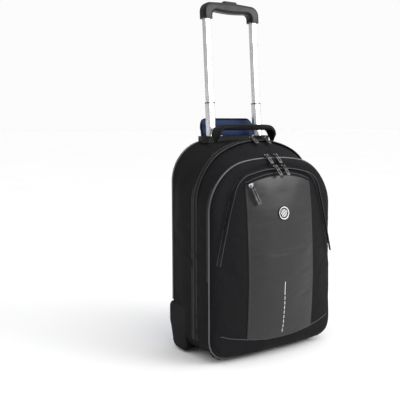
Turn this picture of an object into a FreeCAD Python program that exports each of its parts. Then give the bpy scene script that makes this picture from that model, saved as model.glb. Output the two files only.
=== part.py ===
"""Rolling laptop case: a soft two-wheel case with a two-stage telescopic handle and shoulder straps.

Frame: X to the right seen from the front, Y to the back, Z up, millimetres. The case stands on z = 0
on its two wheels and two feet, with the handle drawn out. The pocket side faces -Y.

Build order: outlines of the soft sections, rear section, back and straps, trolley handle, wheels,
carry handle and cover, middle section, front pocket, zips with their sliders and pulls.
"""

import FreeCAD, Part

import math
import os

V = FreeCAD.Vector
X_AXIS = V(1, 0, 0)
Y_AXIS = V(0, 1, 0)
Z_AXIS = V(0, 0, 1)
SIDES = {"left": -1, "right": 1}

# ---------------------------------------------------------------- driving dimensions
HALF_WIDTH = 166.0        # half the width of every soft section
BODY_BOTTOM = 10.0        # underside of the soft body above the floor
BACK_Y = 81.0             # rear edge of the rear section
MAIN_ZIP_Y = -8.0         # plane of the main zip, between rear and middle sections
MIDDLE_ZIP_Y = -63.5      # plane of the middle zip, between middle section and front flap
POCKET_Y = -78.0          # plane where the front pocket stands off the front flap
FOLD_Z = 175.0            # height at which the front flap folds
WALL = 4.0                # padded fabric wall
SKIN = 3.0                # single-layer fabric wall
BODY_GAP = 0.25           # each moving soft piece stands back this far from its parting plane

LEAN = 4.0                # degrees that the trolley tubes lean back
TUBE_X = 67.0             # half the distance between the trolley tubes
TUBE_Y = 73.6             # tube centre where it leaves the case
EXIT_Z = 480.0            # top of the bezel
OUTER_TUBE = (24.0, 19.5, 7.0)     # width, depth and corner radius
MIDDLE_TUBE = (21.0, 16.5, 5.6)
UPPER_TUBE = (18.0, 13.5, 4.4)
TUBE_WALL = 1.2
RUN_GAP = 0.3             # clearance round each sliding tube
OUTER_LENGTH = 400.0
MIDDLE_SHOWS = 75.0       # middle tube standing out of the bezel
MIDDLE_LENGTH = 380.0
UPPER_SHOWS = 195.0       # upper tube standing out of the middle tube
UPPER_INSIDE = 150.0      # upper tube still inside the middle tube
GRIP_LEG = 40.0           # grip, from its lower end to its top

WHEEL_R = 32.0
WHEEL_WIDTH = 24.0
WHEEL_X = 146.0
WHEEL_Y = 59.0
AXLE_R = 4.0
HOUSING_INNER_X = 124.0
HOUSING_OUTER_X = 168.0
HOUSING_TOP = 108.0
HOUSING_FRONT_Y = 24.0
HOUSING_BACK_Y = 98.0

# Half width, bottom, crown height, crown radius, shoulder radius, foot radius of each outline.
BACK_OUTLINE = (HALF_WIDTH, BODY_BOTTOM, 472.0, 900.0, 88.0, 30.0)
MAIN_OUTLINE = (HALF_WIDTH, BODY_BOTTOM, 474.0, 205.0, 121.0, 40.0)
MIDDLE_OUTLINE = (HALF_WIDTH, BODY_BOTTOM, 434.0, 400.0, 105.0, 40.0)


# ---------------------------------------------------------------- general helpers
def box(x0, x1, y0, y1, z0, z1):
    return Part.makeBox(x1 - x0, y1 - y0, z1 - z0, V(x0, y0, z0))


def rod(radius, start, end):
    """Round bar from one point to another."""
    along = end - start
    return Part.makeCylinder(radius, along.Length, start, along)


def mirrored(shape):
    return shape.mirror(V(0, 0, 0), X_AXIS)


def on_side(shape, side):
    """A piece drawn for the right-hand side, put on the named side."""
    return shape if SIDES[side] > 0 else mirrored(shape)


def both_sides(shape):
    return Part.makeCompound([mirrored(shape), shape])


def rounded_polygon(corners, place):
    """Closed wire through corners (u, v, radius), each corner rounded; place turns (u, v) into a point."""
    count = len(corners)
    cuts = []
    for i, (u, v, radius) in enumerate(corners):
        here = V(u, v, 0)
        to_last = (V(corners[i - 1][0], corners[i - 1][1], 0) - here).normalize()
        following = corners[(i + 1) % count]
        to_next = (V(following[0], following[1], 0) - here).normalize()
        half_angle = to_last.getAngle(to_next) / 2
        reach = radius / math.tan(half_angle)
        bisector = (to_last + to_next).normalize()
        middle = here + bisector * (radius / math.sin(half_angle) - radius)
        cuts.append((here + to_last * reach, middle, here + to_next * reach, radius))
    edges = []
    for i, (start, middle, end, radius) in enumerate(cuts):
        if radius > 0:
            edges.append(Part.Arc(*[place(p.x, p.y) for p in (start, middle, end)]).toShape())
        following = cuts[(i + 1) % count][0]
        if (following - end).Length > 1e-6:
            edges.append(Part.makeLine(place(end.x, end.y), place(following.x, following.y)))
    return Part.Wire(edges)


def prism(corners, place, along):
    """Solid drawn as a rounded polygon and pulled along a vector."""
    return Part.Face(rounded_polygon(corners, place)).extrude(along)


def front_view(y):
    """Places outline points (u, v) at x = u, z = v in the plane y."""
    return lambda u, v: V(u, y, v)


def side_view(x):
    """Places outline points (u, v) at y = u, z = v in the plane x."""
    return lambda u, v: V(x, u, v)


def plan_view(z):
    """Places outline points (u, v) at x = u, y = v in the plane z."""
    return lambda u, v: V(u, v, z)


def rectangle(u0, u1, v0, v1, radius=0.0):
    """Corners of a rectangle with one corner radius."""
    return [(u0, v0, radius), (u1, v0, radius), (u1, v1, radius), (u0, v1, radius)]


# ---------------------------------------------------------------- outlines of the soft sections
def grown(outline, by):
    """The outline moved outwards by a distance, or inwards if it is negative."""
    half_width, bottom, crown, crown_radius, shoulder_radius, foot_radius = outline
    return (half_width + by, bottom - by, crown + by,
            crown_radius + by, shoulder_radius + by, foot_radius + by)


def arch_wire(outline, y):
    """Flat bottom, rounded feet, upright sides, and a crown of three tangent arcs."""
    half_width, bottom, crown, crown_radius, shoulder_radius, foot_radius = outline
    crown_centre = crown - crown_radius
    shoulder_x = half_width - shoulder_radius
    span = crown_radius - shoulder_radius
    shoulder_z = crown_centre + math.sqrt(span ** 2 - shoulder_x ** 2)
    turn = math.asin(shoulder_x / span)
    tangent = (crown_radius * math.sin(turn), crown_centre + crown_radius * math.cos(turn))
    middle = (turn + math.pi / 2) / 2
    shoulder = (shoulder_x + shoulder_radius * math.sin(middle),
                shoulder_z + shoulder_radius * math.cos(middle))
    foot_x = half_width - foot_radius
    foot_z = bottom + foot_radius
    slant = foot_radius * math.sqrt(0.5)

    def at(x, z):
        return V(x, y, z)

    return Part.Wire([
        Part.makeLine(at(-foot_x, bottom), at(foot_x, bottom)),
        Part.Arc(at(foot_x, bottom), at(foot_x + slant, foot_z - slant), at(half_width, foot_z)).toShape(),
        Part.makeLine(at(half_width, foot_z), at(half_width, shoulder_z)),
        Part.Arc(at(half_width, shoulder_z), at(*shoulder), at(*tangent)).toShape(),
        Part.Arc(at(*tangent), at(0, crown), at(-tangent[0], tangent[1])).toShape(),
        Part.Arc(at(-tangent[0], tangent[1]), at(-shoulder[0], shoulder[1]),
                 at(-half_width, shoulder_z)).toShape(),
        Part.makeLine(at(-half_width, shoulder_z), at(-half_width, foot_z)),
        Part.Arc(at(-half_width, foot_z), at(-foot_x - slant, foot_z - slant), at(-foot_x, bottom)).toShape(),
    ])


def between(back, back_y, front, front_y, by=0.0):
    """Solid that runs straight from one outline to another, both moved outwards by a distance."""
    wires = [arch_wire(grown(back, by), back_y), arch_wire(grown(front, by), front_y)]
    return Part.makeLoft(wires, True, True)


def plate(outline, y0, y1, by=0.0):
    """Flat solid of one outline."""
    return Part.Face(arch_wire(grown(outline, by), y0)).extrude(V(0, y1 - y0, 0))


def rear_volume(by=0.0):
    return between(BACK_OUTLINE, BACK_Y, MAIN_OUTLINE, MAIN_ZIP_Y, by)


def middle_volume(by=0.0):
    return between(MAIN_OUTLINE, MAIN_ZIP_Y, MIDDLE_OUTLINE, MIDDLE_ZIP_Y, by)


def band(volume, y0, y1, height, bottom_z):
    """Skin of a given height on a section, from y0 to y1 and above bottom_z: a zip tape."""
    slab = box(-250, 250, y0, y1, bottom_z, 600)
    return volume(height).cut(volume(0.0)).common(slab)


# ---------------------------------------------------------------- the leaning trolley frame
def leaned(shape):
    """A trolley piece drawn upright, leaned back about the tube exit."""
    shape = shape.copy()
    shape.rotate(V(0, TUBE_Y, EXIT_Z), X_AXIS, -LEAN)
    return shape


def tube_block(size, z0, z1, x=TUBE_X, shrink=0.0):
    """Upright bar of a tube's section; z0 and z1 count from the tube exit."""
    width, depth, radius = size
    half_w = width / 2 - shrink
    half_d = depth / 2 - shrink
    corners = rectangle(x - half_w, x + half_w, TUBE_Y - half_d, TUBE_Y + half_d,
                        max(radius - shrink, 0.5))
    return prism(corners, plan_view(EXIT_Z + z0), V(0, 0, z1 - z0))


def tube(size, z0, z1):
    """Right-hand tube, upright."""
    return tube_block(size, z0, z1).cut(tube_block(size, z0 - 1, z1 + 1, shrink=TUBE_WALL))


# ---------------------------------------------------------------- rear section
def housing_space(grow=0.5):
    """What the wheel housings take from the soft corners, both sides."""
    corner = box(HOUSING_INNER_X - grow, 250, HOUSING_FRONT_Y - grow, 200, -50, HOUSING_TOP + grow)
    return both_sides(corner)


BEZEL_HALF = 96.0
BEZEL_FRONT = 57.0
BEZEL_BACK = 92.0
BEZEL_BOTTOM = 464.0


def bezel_space():
    return box(-BEZEL_HALF - 0.3, BEZEL_HALF + 0.3, BEZEL_FRONT - 0.3, BEZEL_BACK + 40,
               BEZEL_BOTTOM - 0.3, 520)


def rear_shell():
    """Side, top, bottom and back wall of the laptop compartment."""
    ring = rear_volume().cut(rear_volume(-WALL))
    shell = ring.fuse(plate(BACK_OUTLINE, BACK_Y, BACK_Y + SKIN))
    tube_channels = leaned(both_sides(tube_block(OUTER_TUBE, -OUTER_LENGTH - 4, 0, shrink=-0.4)))
    return shell.cut(housing_space()).cut(bezel_space()).cut(tube_channels)


BOARD_OFFSET = -16.0
BOARD_THICKNESS = 2.5


def leaning_slab(y0, y1, half_x, z0, z1):
    """Slab beside the tubes: y counts from the tube centre, z from the tube exit."""
    return leaned(box(-half_x, half_x, TUBE_Y + y0, TUBE_Y + y1, EXIT_Z + z0, EXIT_Z + z1))


def inner_board():
    """Stiff sheet between the trolley tubes and the laptop compartment."""
    slab = leaning_slab(BOARD_OFFSET - BOARD_THICKNESS, BOARD_OFFSET, 200, -445, -22)
    return slab.common(rear_volume(-WALL - 0.4)).cut(housing_space())


SLEEVE_HALF = 120.0
SLEEVE_DEPTH = 24.0
SLEEVE_TOP = -120.0
SLEEVE_BOTTOM = -440.0


def laptop_sleeve():
    """Padded pocket on the inner board, open at the top."""
    back = BOARD_OFFSET - BOARD_THICKNESS - 0.2
    front = back - SLEEVE_DEPTH - WALL
    outside = leaning_slab(front, back, SLEEVE_HALF, SLEEVE_BOTTOM, SLEEVE_TOP)
    inside = leaning_slab(front + WALL, back + 5, SLEEVE_HALF - WALL, SLEEVE_BOTTOM + WALL, SLEEVE_TOP + 50)
    return outside.cut(inside)


# ---------------------------------------------------------------- back, pads and shoulder straps
BACK_FACE = BACK_Y + SKIN
PAD_DEPTH = 9.0
PAD_HALF = 46.0
PAD_PITCH = 98.0
PAD_BOTTOM = 128.0
PAD_TOP = 378.0
YOKE_DEPTH = 11.0


def back_pads():
    """Three upright padded channels."""
    pads = []
    for column in (-1, 0, 1):
        middle = column * PAD_PITCH
        corners = rectangle(middle - PAD_HALF, middle + PAD_HALF, PAD_BOTTOM, PAD_TOP, 12.0)
        pad = prism(corners, front_view(BACK_FACE), V(0, PAD_DEPTH, 0))
        pads.append(pad)
    return Part.makeCompound(pads)


def back_yoke():
    """Padded crescent across the top of the back, over the strap roots."""
    crescent = plate(grown(BACK_OUTLINE, -4.0), BACK_FACE, BACK_FACE + YOKE_DEPTH)
    under_side = Part.makeCylinder(330.0, 60, V(0, BACK_FACE - 20, 92.0), Y_AXIS)
    low = box(-250, 250, 0, 200, 0, 372)
    return crescent.cut(under_side).cut(low).cut(bezel_space())


def wheel_cover_pocket():
    """Flat pocket low on the back that holds the folded wheel cover."""
    corners = rectangle(-118.0, 118.0, 24.0, 116.0, 14.0)
    outside = prism(corners, front_view(BACK_FACE), V(0, 10.0, 0))
    inside = prism(rectangle(-115.0, 115.0, 27.0, 140.0, 10.0), front_view(BACK_FACE), V(0, 8.0, 0))
    return outside.cut(inside)


def wheel_cover():
    """Coloured cover for the wheels, folded away in its pocket with its edge showing."""
    return prism(rectangle(-112.0, 112.0, 30.0, 122.0, 8.0), front_view(BACK_FACE + 1.0), V(0, 6.0, 0))


STRAP_HALF = 33.0
STRAP_INNER_Y = BACK_FACE + PAD_DEPTH + 1.0
STRAP_DEPTH = 11.0


def shoulder_straps():
    """Padded straps hanging flat over the pads, each from under the yoke to its buckle."""
    centre = [(62.0, 396.0), (74.0, 330.0), (86.0, 250.0), (84.0, 170.0), (74.0, 112.0)]
    half = [STRAP_HALF, STRAP_HALF, STRAP_HALF, STRAP_HALF - 2, STRAP_HALF - 9]
    outer_edge = [V(x + w, STRAP_INNER_Y, z) for (x, z), w in zip(centre, half)]
    inner_edge = [V(x - w, STRAP_INNER_Y, z) for (x, z), w in zip(centre, half)]
    curves = []
    for points in (outer_edge, inner_edge):
        curve = Part.BSplineCurve()
        curve.interpolate(points)
        curves.append(curve.toShape())
    ends = [Part.makeLine(outer_edge[0], inner_edge[0]), Part.makeLine(outer_edge[-1], inner_edge[-1])]
    wire = Part.Wire(Part.__sortEdges__(curves + ends))
    return both_sides(Part.Face(wire).extrude(V(0, STRAP_DEPTH, 0)))


BUCKLE_Z = 88.0
BUCKLE_X = 74.0


def strap_buckles():
    """Ladder-lock buckles at the lower ends of the padded straps."""
    low_y = BACK_FACE + 12.2
    frame = box(BUCKLE_X - 16, BUCKLE_X + 16, low_y, low_y + 7, BUCKLE_Z - 16, BUCKLE_Z + 16)
    for level in (-9.0, 3.0):
        frame = frame.cut(box(BUCKLE_X - 11.5, BUCKLE_X + 11.5, low_y - 1, low_y + 8,
                              BUCKLE_Z + level, BUCKLE_Z + level + 6))
    return both_sides(frame)


def strap_webbing():
    """Flat webbing from each buckle out to its seam beside the lower pad."""
    corners = [(BUCKLE_X - 11, 72.0, 0), (BUCKLE_X + 11, 72.0, 0), (121.0, 104.0, 0), (121.0, 129.0, 0)]
    strip = prism(corners, front_view(BACK_FACE + 10.3), V(0, 1.6, 0))
    return both_sides(strip)


# ---------------------------------------------------------------- trolley handle
def outer_tubes():
    return leaned(both_sides(tube(OUTER_TUBE, -OUTER_LENGTH - 4, -4)))


def handle_bezel():
    """Moulded frame round the tubes where they leave the case."""
    corners = rectangle(-BEZEL_HALF, BEZEL_HALF, BEZEL_FRONT, BEZEL_BACK, 12.0)
    body = prism(corners, plan_view(BEZEL_BOTTOM), V(0, 0, EXIT_Z - BEZEL_BOTTOM))
    seat = leaned(both_sides(tube_block(OUTER_TUBE, -40, -4, shrink=-0.05)))
    passage = leaned(both_sides(tube_block(MIDDLE_TUBE, -40, 20, shrink=-RUN_GAP)))
    well = prism(rectangle(-TUBE_X + 18, TUBE_X - 18, BEZEL_FRONT + 6, BEZEL_BACK - 6, 6.0),
                 plan_view(BEZEL_BOTTOM + 4), V(0, 0, 40))
    return body.cut(seat).cut(passage).cut(well)


def tube_bracket():
    """Moulded beam that ties the tube ends to the wheel housings."""
    low = -OUTER_LENGTH - 12
    beam = box(-122.0, 122.0, TUBE_Y - 15, TUBE_Y + 15, EXIT_Z + low, EXIT_Z + low + 34)
    hollow = both_sides(box(2.0, 48.0, TUBE_Y - 12, TUBE_Y + 20, EXIT_Z + low + 3, EXIT_Z + low + 31))
    sockets = both_sides(tube_block(OUTER_TUBE, -OUTER_LENGTH - 4, 0, shrink=-0.05))
    drains = both_sides(tube_block(MIDDLE_TUBE, low - 5, 0, shrink=2.0))
    return leaned(beam.cut(hollow).cut(sockets).cut(drains))


def middle_tubes():
    return leaned(both_sides(tube(MIDDLE_TUBE, MIDDLE_SHOWS - MIDDLE_LENGTH, MIDDLE_SHOWS)))


def middle_collars():
    """Thin lips that close the gap at the mouth of each middle tube."""
    size = (MIDDLE_TUBE[0] + 0.6, MIDDLE_TUBE[1] + 0.6, MIDDLE_TUBE[2])
    lip = tube_block(size, MIDDLE_SHOWS, MIDDLE_SHOWS + 2.4)
    lip = lip.cut(tube_block(UPPER_TUBE, MIDDLE_SHOWS - 1, MIDDLE_SHOWS + 5, shrink=-RUN_GAP))
    return leaned(both_sides(lip))


UPPER_TOP = MIDDLE_SHOWS + UPPER_SHOWS      # lower end of the grip, from the tube exit
UPPER_END = MIDDLE_SHOWS - UPPER_INSIDE     # lower end of the upper tube
PIN_Z = UPPER_END + 22.0
PIN_R = 2.8
PIN_INNER = 5.2
PIN_OUTER = 9.2


def upper_tubes():
    body = tube(UPPER_TUBE, UPPER_END, UPPER_TOP + 16)
    z = EXIT_Z + PIN_Z
    body = body.cut(rod(PIN_R + 0.2, V(TUBE_X + 4, TUBE_Y, z), V(TUBE_X + 12, TUBE_Y, z)))
    return leaned(both_sides(body))


def guide_plugs():
    """Plastic ends of the upper tubes, which carry the lock pins."""
    plug = tube_block(UPPER_TUBE, UPPER_END - 5, UPPER_END + 40, shrink=TUBE_WALL + 0.02)
    plug = plug.cut(rod(2.3, V(TUBE_X, TUBE_Y, EXIT_Z + PIN_Z - 10), V(TUBE_X, TUBE_Y, EXIT_Z + 100)))
    z = EXIT_Z + PIN_Z
    plug = plug.cut(rod(PIN_R + 0.05, V(TUBE_X, TUBE_Y, z), V(TUBE_X + 12, TUBE_Y, z)))
    return leaned(both_sides(plug))


def lock_pin(side):
    z = EXIT_Z + PIN_Z
    pin = rod(PIN_R, V(TUBE_X + PIN_INNER, TUBE_Y, z), V(TUBE_X + PIN_OUTER, TUBE_Y, z))
    return leaned(on_side(pin, side))


GRIP_DEPTH = 24.0
GRIP_TOP = UPPER_TOP + GRIP_LEG
CHANNEL_FLOOR = UPPER_TOP + 21.0
CHANNEL_ROOF = CHANNEL_FLOOR + 11.0
CAP_Z = UPPER_TOP + 29.0


def grip_blank():
    """Outside of the grip: a crowned bar with two rounded legs."""
    z = EXIT_Z
    leg_in = TUBE_X - 12.5
    leg_out = TUBE_X + 12.5
    corners = [
        (leg_out, z + UPPER_TOP, 0.0), (leg_out, z + GRIP_TOP - 3, 22.0),
        (0.0, z + GRIP_TOP + 1, 400.0), (-leg_out, z + GRIP_TOP - 3, 22.0),
        (-leg_out, z + UPPER_TOP, 0.0), (-leg_in, z + UPPER_TOP, 0.0),
        (-leg_in, z + UPPER_TOP + 19, 10.0), (0.0, z + UPPER_TOP + 15, 400.0),
        (leg_in, z + UPPER_TOP + 19, 10.0), (leg_in, z + UPPER_TOP, 0.0),
    ]
    blank = prism(corners, front_view(TUBE_Y - GRIP_DEPTH / 2), V(0, GRIP_DEPTH, 0))
    rim = [e for e in blank.Edges
           if abs(abs(e.CenterOfMass.y - TUBE_Y) - GRIP_DEPTH / 2) < 0.1
           and e.CenterOfMass.z > z + UPPER_TOP + 0.1]
    return blank.makeFillet(6.5, rim)


def grip_channel():
    """Room inside the grip for the tubes, the yoke and the rods."""
    z = EXIT_Z
    channel = box(-TUBE_X - 3, TUBE_X + 3, TUBE_Y - 5, TUBE_Y + 5, z + CHANNEL_FLOOR, z + CHANNEL_ROOF)
    sockets = both_sides(tube_block(UPPER_TUBE, UPPER_TOP - 1, UPPER_TOP + 16, shrink=-0.02))
    drops = both_sides(rod(3.4, V(TUBE_X, TUBE_Y, z + UPPER_TOP), V(TUBE_X, TUBE_Y, z + CHANNEL_ROOF)))
    spring = rod(4.6, V(0, TUBE_Y, z + CHANNEL_FLOOR - 4), V(0, TUBE_Y, z + CHANNEL_FLOOR + 1))
    return channel.fuse(sockets).fuse(drops).fuse(spring)


BUTTON_HALF = 19.0
BUTTON_DEPTH = 6.5


def button_window():
    corners = rectangle(-BUTTON_HALF - 0.4, BUTTON_HALF + 0.4, TUBE_Y - BUTTON_DEPTH - 0.4,
                        TUBE_Y + BUTTON_DEPTH + 0.4, 5.4)
    return prism(corners, plan_view(EXIT_Z + CHANNEL_ROOF - 6), V(0, 0, 30))


def grip_part(z0, z1):
    """One moulding of the grip, between two heights."""
    slab = box(-200, 200, 0, 200, EXIT_Z + z0, EXIT_Z + z1)
    return leaned(grip_blank().common(slab).cut(grip_channel()).cut(button_window()))


def grip_body():
    return grip_part(0, CAP_Z)


def grip_cap():
    return grip_part(CAP_Z, GRIP_TOP + 30)


YOKE_Z = CHANNEL_ROOF - 4.5


def release_button():
    corners = rectangle(-BUTTON_HALF, BUTTON_HALF, TUBE_Y - BUTTON_DEPTH, TUBE_Y + BUTTON_DEPTH, 5.0)
    cap = prism(corners, plan_view(EXIT_Z + CHANNEL_ROOF + 0.2), V(0, 0, GRIP_TOP - CHANNEL_ROOF + 4.3))
    top = [e for e in cap.Edges if e.CenterOfMass.z > EXIT_Z + GRIP_TOP + 4.4]
    return leaned(cap.makeFillet(2.0, top))


def push_rods():
    """Yoke under the button with a rod down each upper tube to its lock pin."""
    z = EXIT_Z
    yoke = box(-TUBE_X - 2, TUBE_X + 2, TUBE_Y - 3.5, TUBE_Y + 3.5, z + YOKE_Z, z + YOKE_Z + 4)
    foot = box(-8, 8, TUBE_Y - 3.5, TUBE_Y + 3.5, z + YOKE_Z + 4, z + CHANNEL_ROOF + 0.2)
    rods = both_sides(rod(2.0, V(TUBE_X, TUBE_Y, z + PIN_Z - 4), V(TUBE_X, TUBE_Y, z + YOKE_Z + 1)))
    return leaned(yoke.fuse(foot).fuse(rods))


def button_spring():
    """Return spring under the yoke: a stack of turns drawn as rings."""
    z = EXIT_Z + CHANNEL_FLOOR - 4
    rise = YOKE_Z - CHANNEL_FLOOR + 4
    turns = 5
    rings = [Part.makeTorus(3.6, 0.5, V(0, TUBE_Y, z + 0.6 + i * (rise - 1.2) / (turns - 1)))
             for i in range(turns)]
    return leaned(Part.makeCompound(rings))


# ---------------------------------------------------------------- wheels
def wheel_housings():
    """Moulded rear corners, each with two ears that hold an axle."""
    profile = [
        (HOUSING_FRONT_Y, BODY_BOTTOM + 4, 6.0), (WHEEL_Y - 26, 4.0, 10.0), (WHEEL_Y + 22, 4.0, 20.0),
        (WHEEL_Y + 31, 40.0, 30.0), (HOUSING_BACK_Y, 62.0, 18.0), (HOUSING_BACK_Y, HOUSING_TOP, 16.0),
        (HOUSING_FRONT_Y, HOUSING_TOP, 6.0),
    ]
    width = HOUSING_OUTER_X - HOUSING_INNER_X
    body = prism(profile, side_view(HOUSING_INNER_X), V(width, 0, 0))
    outer_edges = [e for e in body.Edges if abs(e.CenterOfMass.x - HOUSING_OUTER_X) < 0.1]
    body = body.makeFillet(5.0, outer_edges)
    half = WHEEL_WIDTH / 2 + 2.5
    arch = Part.makeCylinder(WHEEL_R + 3.0, 2 * half, V(WHEEL_X - half, WHEEL_Y, WHEEL_R), X_AXIS)
    mouth = box(WHEEL_X - half, WHEEL_X + half, WHEEL_Y - 29, 200, -20, WHEEL_R)
    rear_mouth = box(WHEEL_X - half, WHEEL_X + half, WHEEL_Y, 200, -20, WHEEL_R + 14)
    pocket = box(HOUSING_INNER_X - 1, HOUSING_OUTER_X - 4, HOUSING_FRONT_Y + 3, HOUSING_BACK_Y - 4,
                 WHEEL_R * 2 + 9, HOUSING_TOP - 3)
    bore = rod(AXLE_R + 0.02, V(HOUSING_INNER_X - 5, WHEEL_Y, WHEEL_R),
               V(HOUSING_OUTER_X - 2.5, WHEEL_Y, WHEEL_R))
    return both_sides(body.cut(arch).cut(mouth).cut(rear_mouth).cut(pocket).cut(bore))


def axles():
    """Steel axles, headed on the inside."""
    pin = rod(AXLE_R, V(HOUSING_INNER_X - 2, WHEEL_Y, WHEEL_R), V(HOUSING_OUTER_X - 2.6, WHEEL_Y, WHEEL_R))
    head = rod(7.0, V(HOUSING_INNER_X - 4, WHEEL_Y, WHEEL_R), V(HOUSING_INNER_X, WHEEL_Y, WHEEL_R))
    return both_sides(pin.fuse(head))


BEARING_R = 11.0
BEARING_WIDTH = 7.0
HUB_R = 24.0


def wheel_bearings():
    """A ball bearing at each end of each hub, drawn as one ring each."""
    rings = []
    for sign in (-1, 1):
        middle = WHEEL_X + sign * (WHEEL_WIDTH / 2 - BEARING_WIDTH / 2)
        start = V(middle - BEARING_WIDTH / 2, WHEEL_Y, WHEEL_R)
        end = V(middle + BEARING_WIDTH / 2, WHEEL_Y, WHEEL_R)
        rings.append(rod(BEARING_R, start, end).cut(rod(AXLE_R + 0.02, start - X_AXIS, end + X_AXIS)))
    return both_sides(Part.makeCompound(rings))


def wheel_hub(side):
    """Moulded hub with a rim, a web with round windows, and bearing seats."""
    left = WHEEL_X - WHEEL_WIDTH / 2
    right = WHEEL_X + WHEEL_WIDTH / 2
    start = V(left, WHEEL_Y, WHEEL_R)
    end = V(right, WHEEL_Y, WHEEL_R)
    hub = rod(HUB_R, start, end)
    for x0, x1 in ((left - 1, left + 7), (right - 7, right + 1)):
        recess = rod(HUB_R - 3, V(x0, WHEEL_Y, WHEEL_R), V(x1, WHEEL_Y, WHEEL_R))
        boss = rod(BEARING_R + 2.5, V(x0, WHEEL_Y, WHEEL_R), V(x1, WHEEL_Y, WHEEL_R))
        hub = hub.cut(recess.cut(boss))
    hub = hub.cut(rod(AXLE_R + 1.0, start - X_AXIS, end + X_AXIS))
    seat = BEARING_WIDTH + 0.1
    hub = hub.cut(rod(BEARING_R + 0.05, start - X_AXIS, V(left + seat, WHEEL_Y, WHEEL_R)))
    hub = hub.cut(rod(BEARING_R + 0.05, V(right - seat, WHEEL_Y, WHEEL_R), end + X_AXIS))
    window_circle = (HUB_R - 3 + BEARING_R + 2.5) / 2
    for i in range(6):
        angle = math.radians(60 * i)
        y = WHEEL_Y + window_circle * math.cos(angle)
        z = WHEEL_R + window_circle * math.sin(angle)
        hub = hub.cut(rod(2.6, V(left, y, z), V(right, y, z)))
    return on_side(hub, side)


def tyre(side):
    """Rubber tyre moulded on the rim, with two grooves."""
    left = WHEEL_X - WHEEL_WIDTH / 2
    tread = rod(WHEEL_R, V(left, WHEEL_Y, WHEEL_R), V(left + WHEEL_WIDTH, WHEEL_Y, WHEEL_R))
    edges = [e for e in tread.Edges if e.Length > 50 and len(e.Vertexes) == 1]
    tread = tread.makeFillet(4.0, edges)
    bore = rod(HUB_R + 0.01, V(left - 1, WHEEL_Y, WHEEL_R), V(left + WHEEL_WIDTH + 1, WHEEL_Y, WHEEL_R))
    tread = tread.cut(bore)
    for x in (WHEEL_X - 4, WHEEL_X + 4):
        tread = tread.cut(Part.makeTorus(WHEEL_R + 0.4, 1.1, V(x, WHEEL_Y, WHEEL_R), X_AXIS))
    return on_side(tread, side)


FOOT_X = 108.0
FOOT_Y = -37.0


def front_feet():
    """Two moulded feet under the middle section."""
    corners = [(FOOT_X - 30, 0.0, 3.0), (FOOT_X + 24, 0.0, 3.0), (FOOT_X + 30, BODY_BOTTOM, 0.0),
               (FOOT_X - 36, BODY_BOTTOM, 0.0)]
    foot = prism(corners, front_view(FOOT_Y - 11), V(0, 22, 0))
    well = rod(5.0, V(FOOT_X, FOOT_Y, -1), V(FOOT_X, FOOT_Y, 4))
    hole = rod(2.1, V(FOOT_X, FOOT_Y, -1), V(FOOT_X, FOOT_Y, BODY_BOTTOM + 1))
    return both_sides(foot.cut(well).cut(hole))


def foot_screws():
    """Pan-head screws that hold the feet."""
    head = rod(4.4, V(FOOT_X, FOOT_Y, 1.2), V(FOOT_X, FOOT_Y, 4.0))
    return both_sides(head.fuse(rod(2.0, V(FOOT_X, FOOT_Y, 4.0), V(FOOT_X, FOOT_Y, BODY_BOTTOM))))


# ---------------------------------------------------------------- carry handle and handle cover
CARRY_Y = 34.0
CARRY_AXIS_Z = 468.5
CARRY_HALF = 84.0
CARRY_TOP = 506.0
CARRY_WIDTH = 30.0
CARRY_ROOT_R = 4.5


def carry_handle():
    """Padded webbing loop, gathered to a narrow sewn root at each end."""
    thick = 11.0
    low = CARRY_AXIS_Z - 10
    outer = [(CARRY_HALF, low, 0.0), (CARRY_HALF, CARRY_TOP, 24.0),
             (-CARRY_HALF, CARRY_TOP, 24.0), (-CARRY_HALF, low, 0.0)]
    inner_half = CARRY_HALF - 6.0
    inner = [(inner_half, low - 4, 0.0), (inner_half, CARRY_TOP - thick, 17.0),
             (-inner_half, CARRY_TOP - thick, 17.0), (-inner_half, low - 4, 0.0)]
    loop = prism(outer, front_view(CARRY_Y - 20), V(0, 40, 0))
    loop = loop.cut(prism(inner, front_view(CARRY_Y - 25), V(0, 50, 0)))
    half = CARRY_WIDTH / 2
    shoulder_z = CARRY_AXIS_Z + 15
    profile = [(CARRY_Y - CARRY_ROOT_R, CARRY_AXIS_Z - CARRY_ROOT_R, CARRY_ROOT_R - 0.05),
               (CARRY_Y + CARRY_ROOT_R, CARRY_AXIS_Z - CARRY_ROOT_R, CARRY_ROOT_R - 0.05),
               (CARRY_Y + CARRY_ROOT_R, CARRY_AXIS_Z, 0.0), (CARRY_Y + half, shoulder_z, 5.0),
               (CARRY_Y + half, CARRY_TOP + 20, 0.0), (CARRY_Y - half, CARRY_TOP + 20, 0.0),
               (CARRY_Y - half, shoulder_z, 5.0), (CARRY_Y - CARRY_ROOT_R, CARRY_AXIS_Z, 0.0)]
    return loop.common(prism(profile, side_view(-100), V(200, 0, 0)))


def carry_anchors():
    """Stitched patches on the top of the case under the ends of the carry handle."""
    skin = rear_volume(1.3).cut(rear_volume(0.0))
    patch = skin.common(box(CARRY_HALF - 16, CARRY_HALF + 8, CARRY_Y - 17, CARRY_Y + 17, 400, 600))
    return both_sides(patch)


COVER_Y = 96.0
COVER_Z = 469.0
COVER_HALF = 76.0
COVER_HEIGHT = 54.0
COVER_LEAN = 12.0


def handle_cover():
    """Lined cover of the handle well, thrown open behind the tubes."""
    corners = [(-COVER_HALF, 0.0, 4.0), (COVER_HALF, 0.0, 4.0), (COVER_HALF, COVER_HEIGHT, 18.0),
               (-COVER_HALF, COVER_HEIGHT, 18.0)]
    panel = prism(corners, front_view(0.0), V(0, 6.0, 0))
    panel.rotate(V(0, 0, 0), X_AXIS, -COVER_LEAN)
    panel.translate(V(0, COVER_Y, COVER_Z))
    return panel


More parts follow.
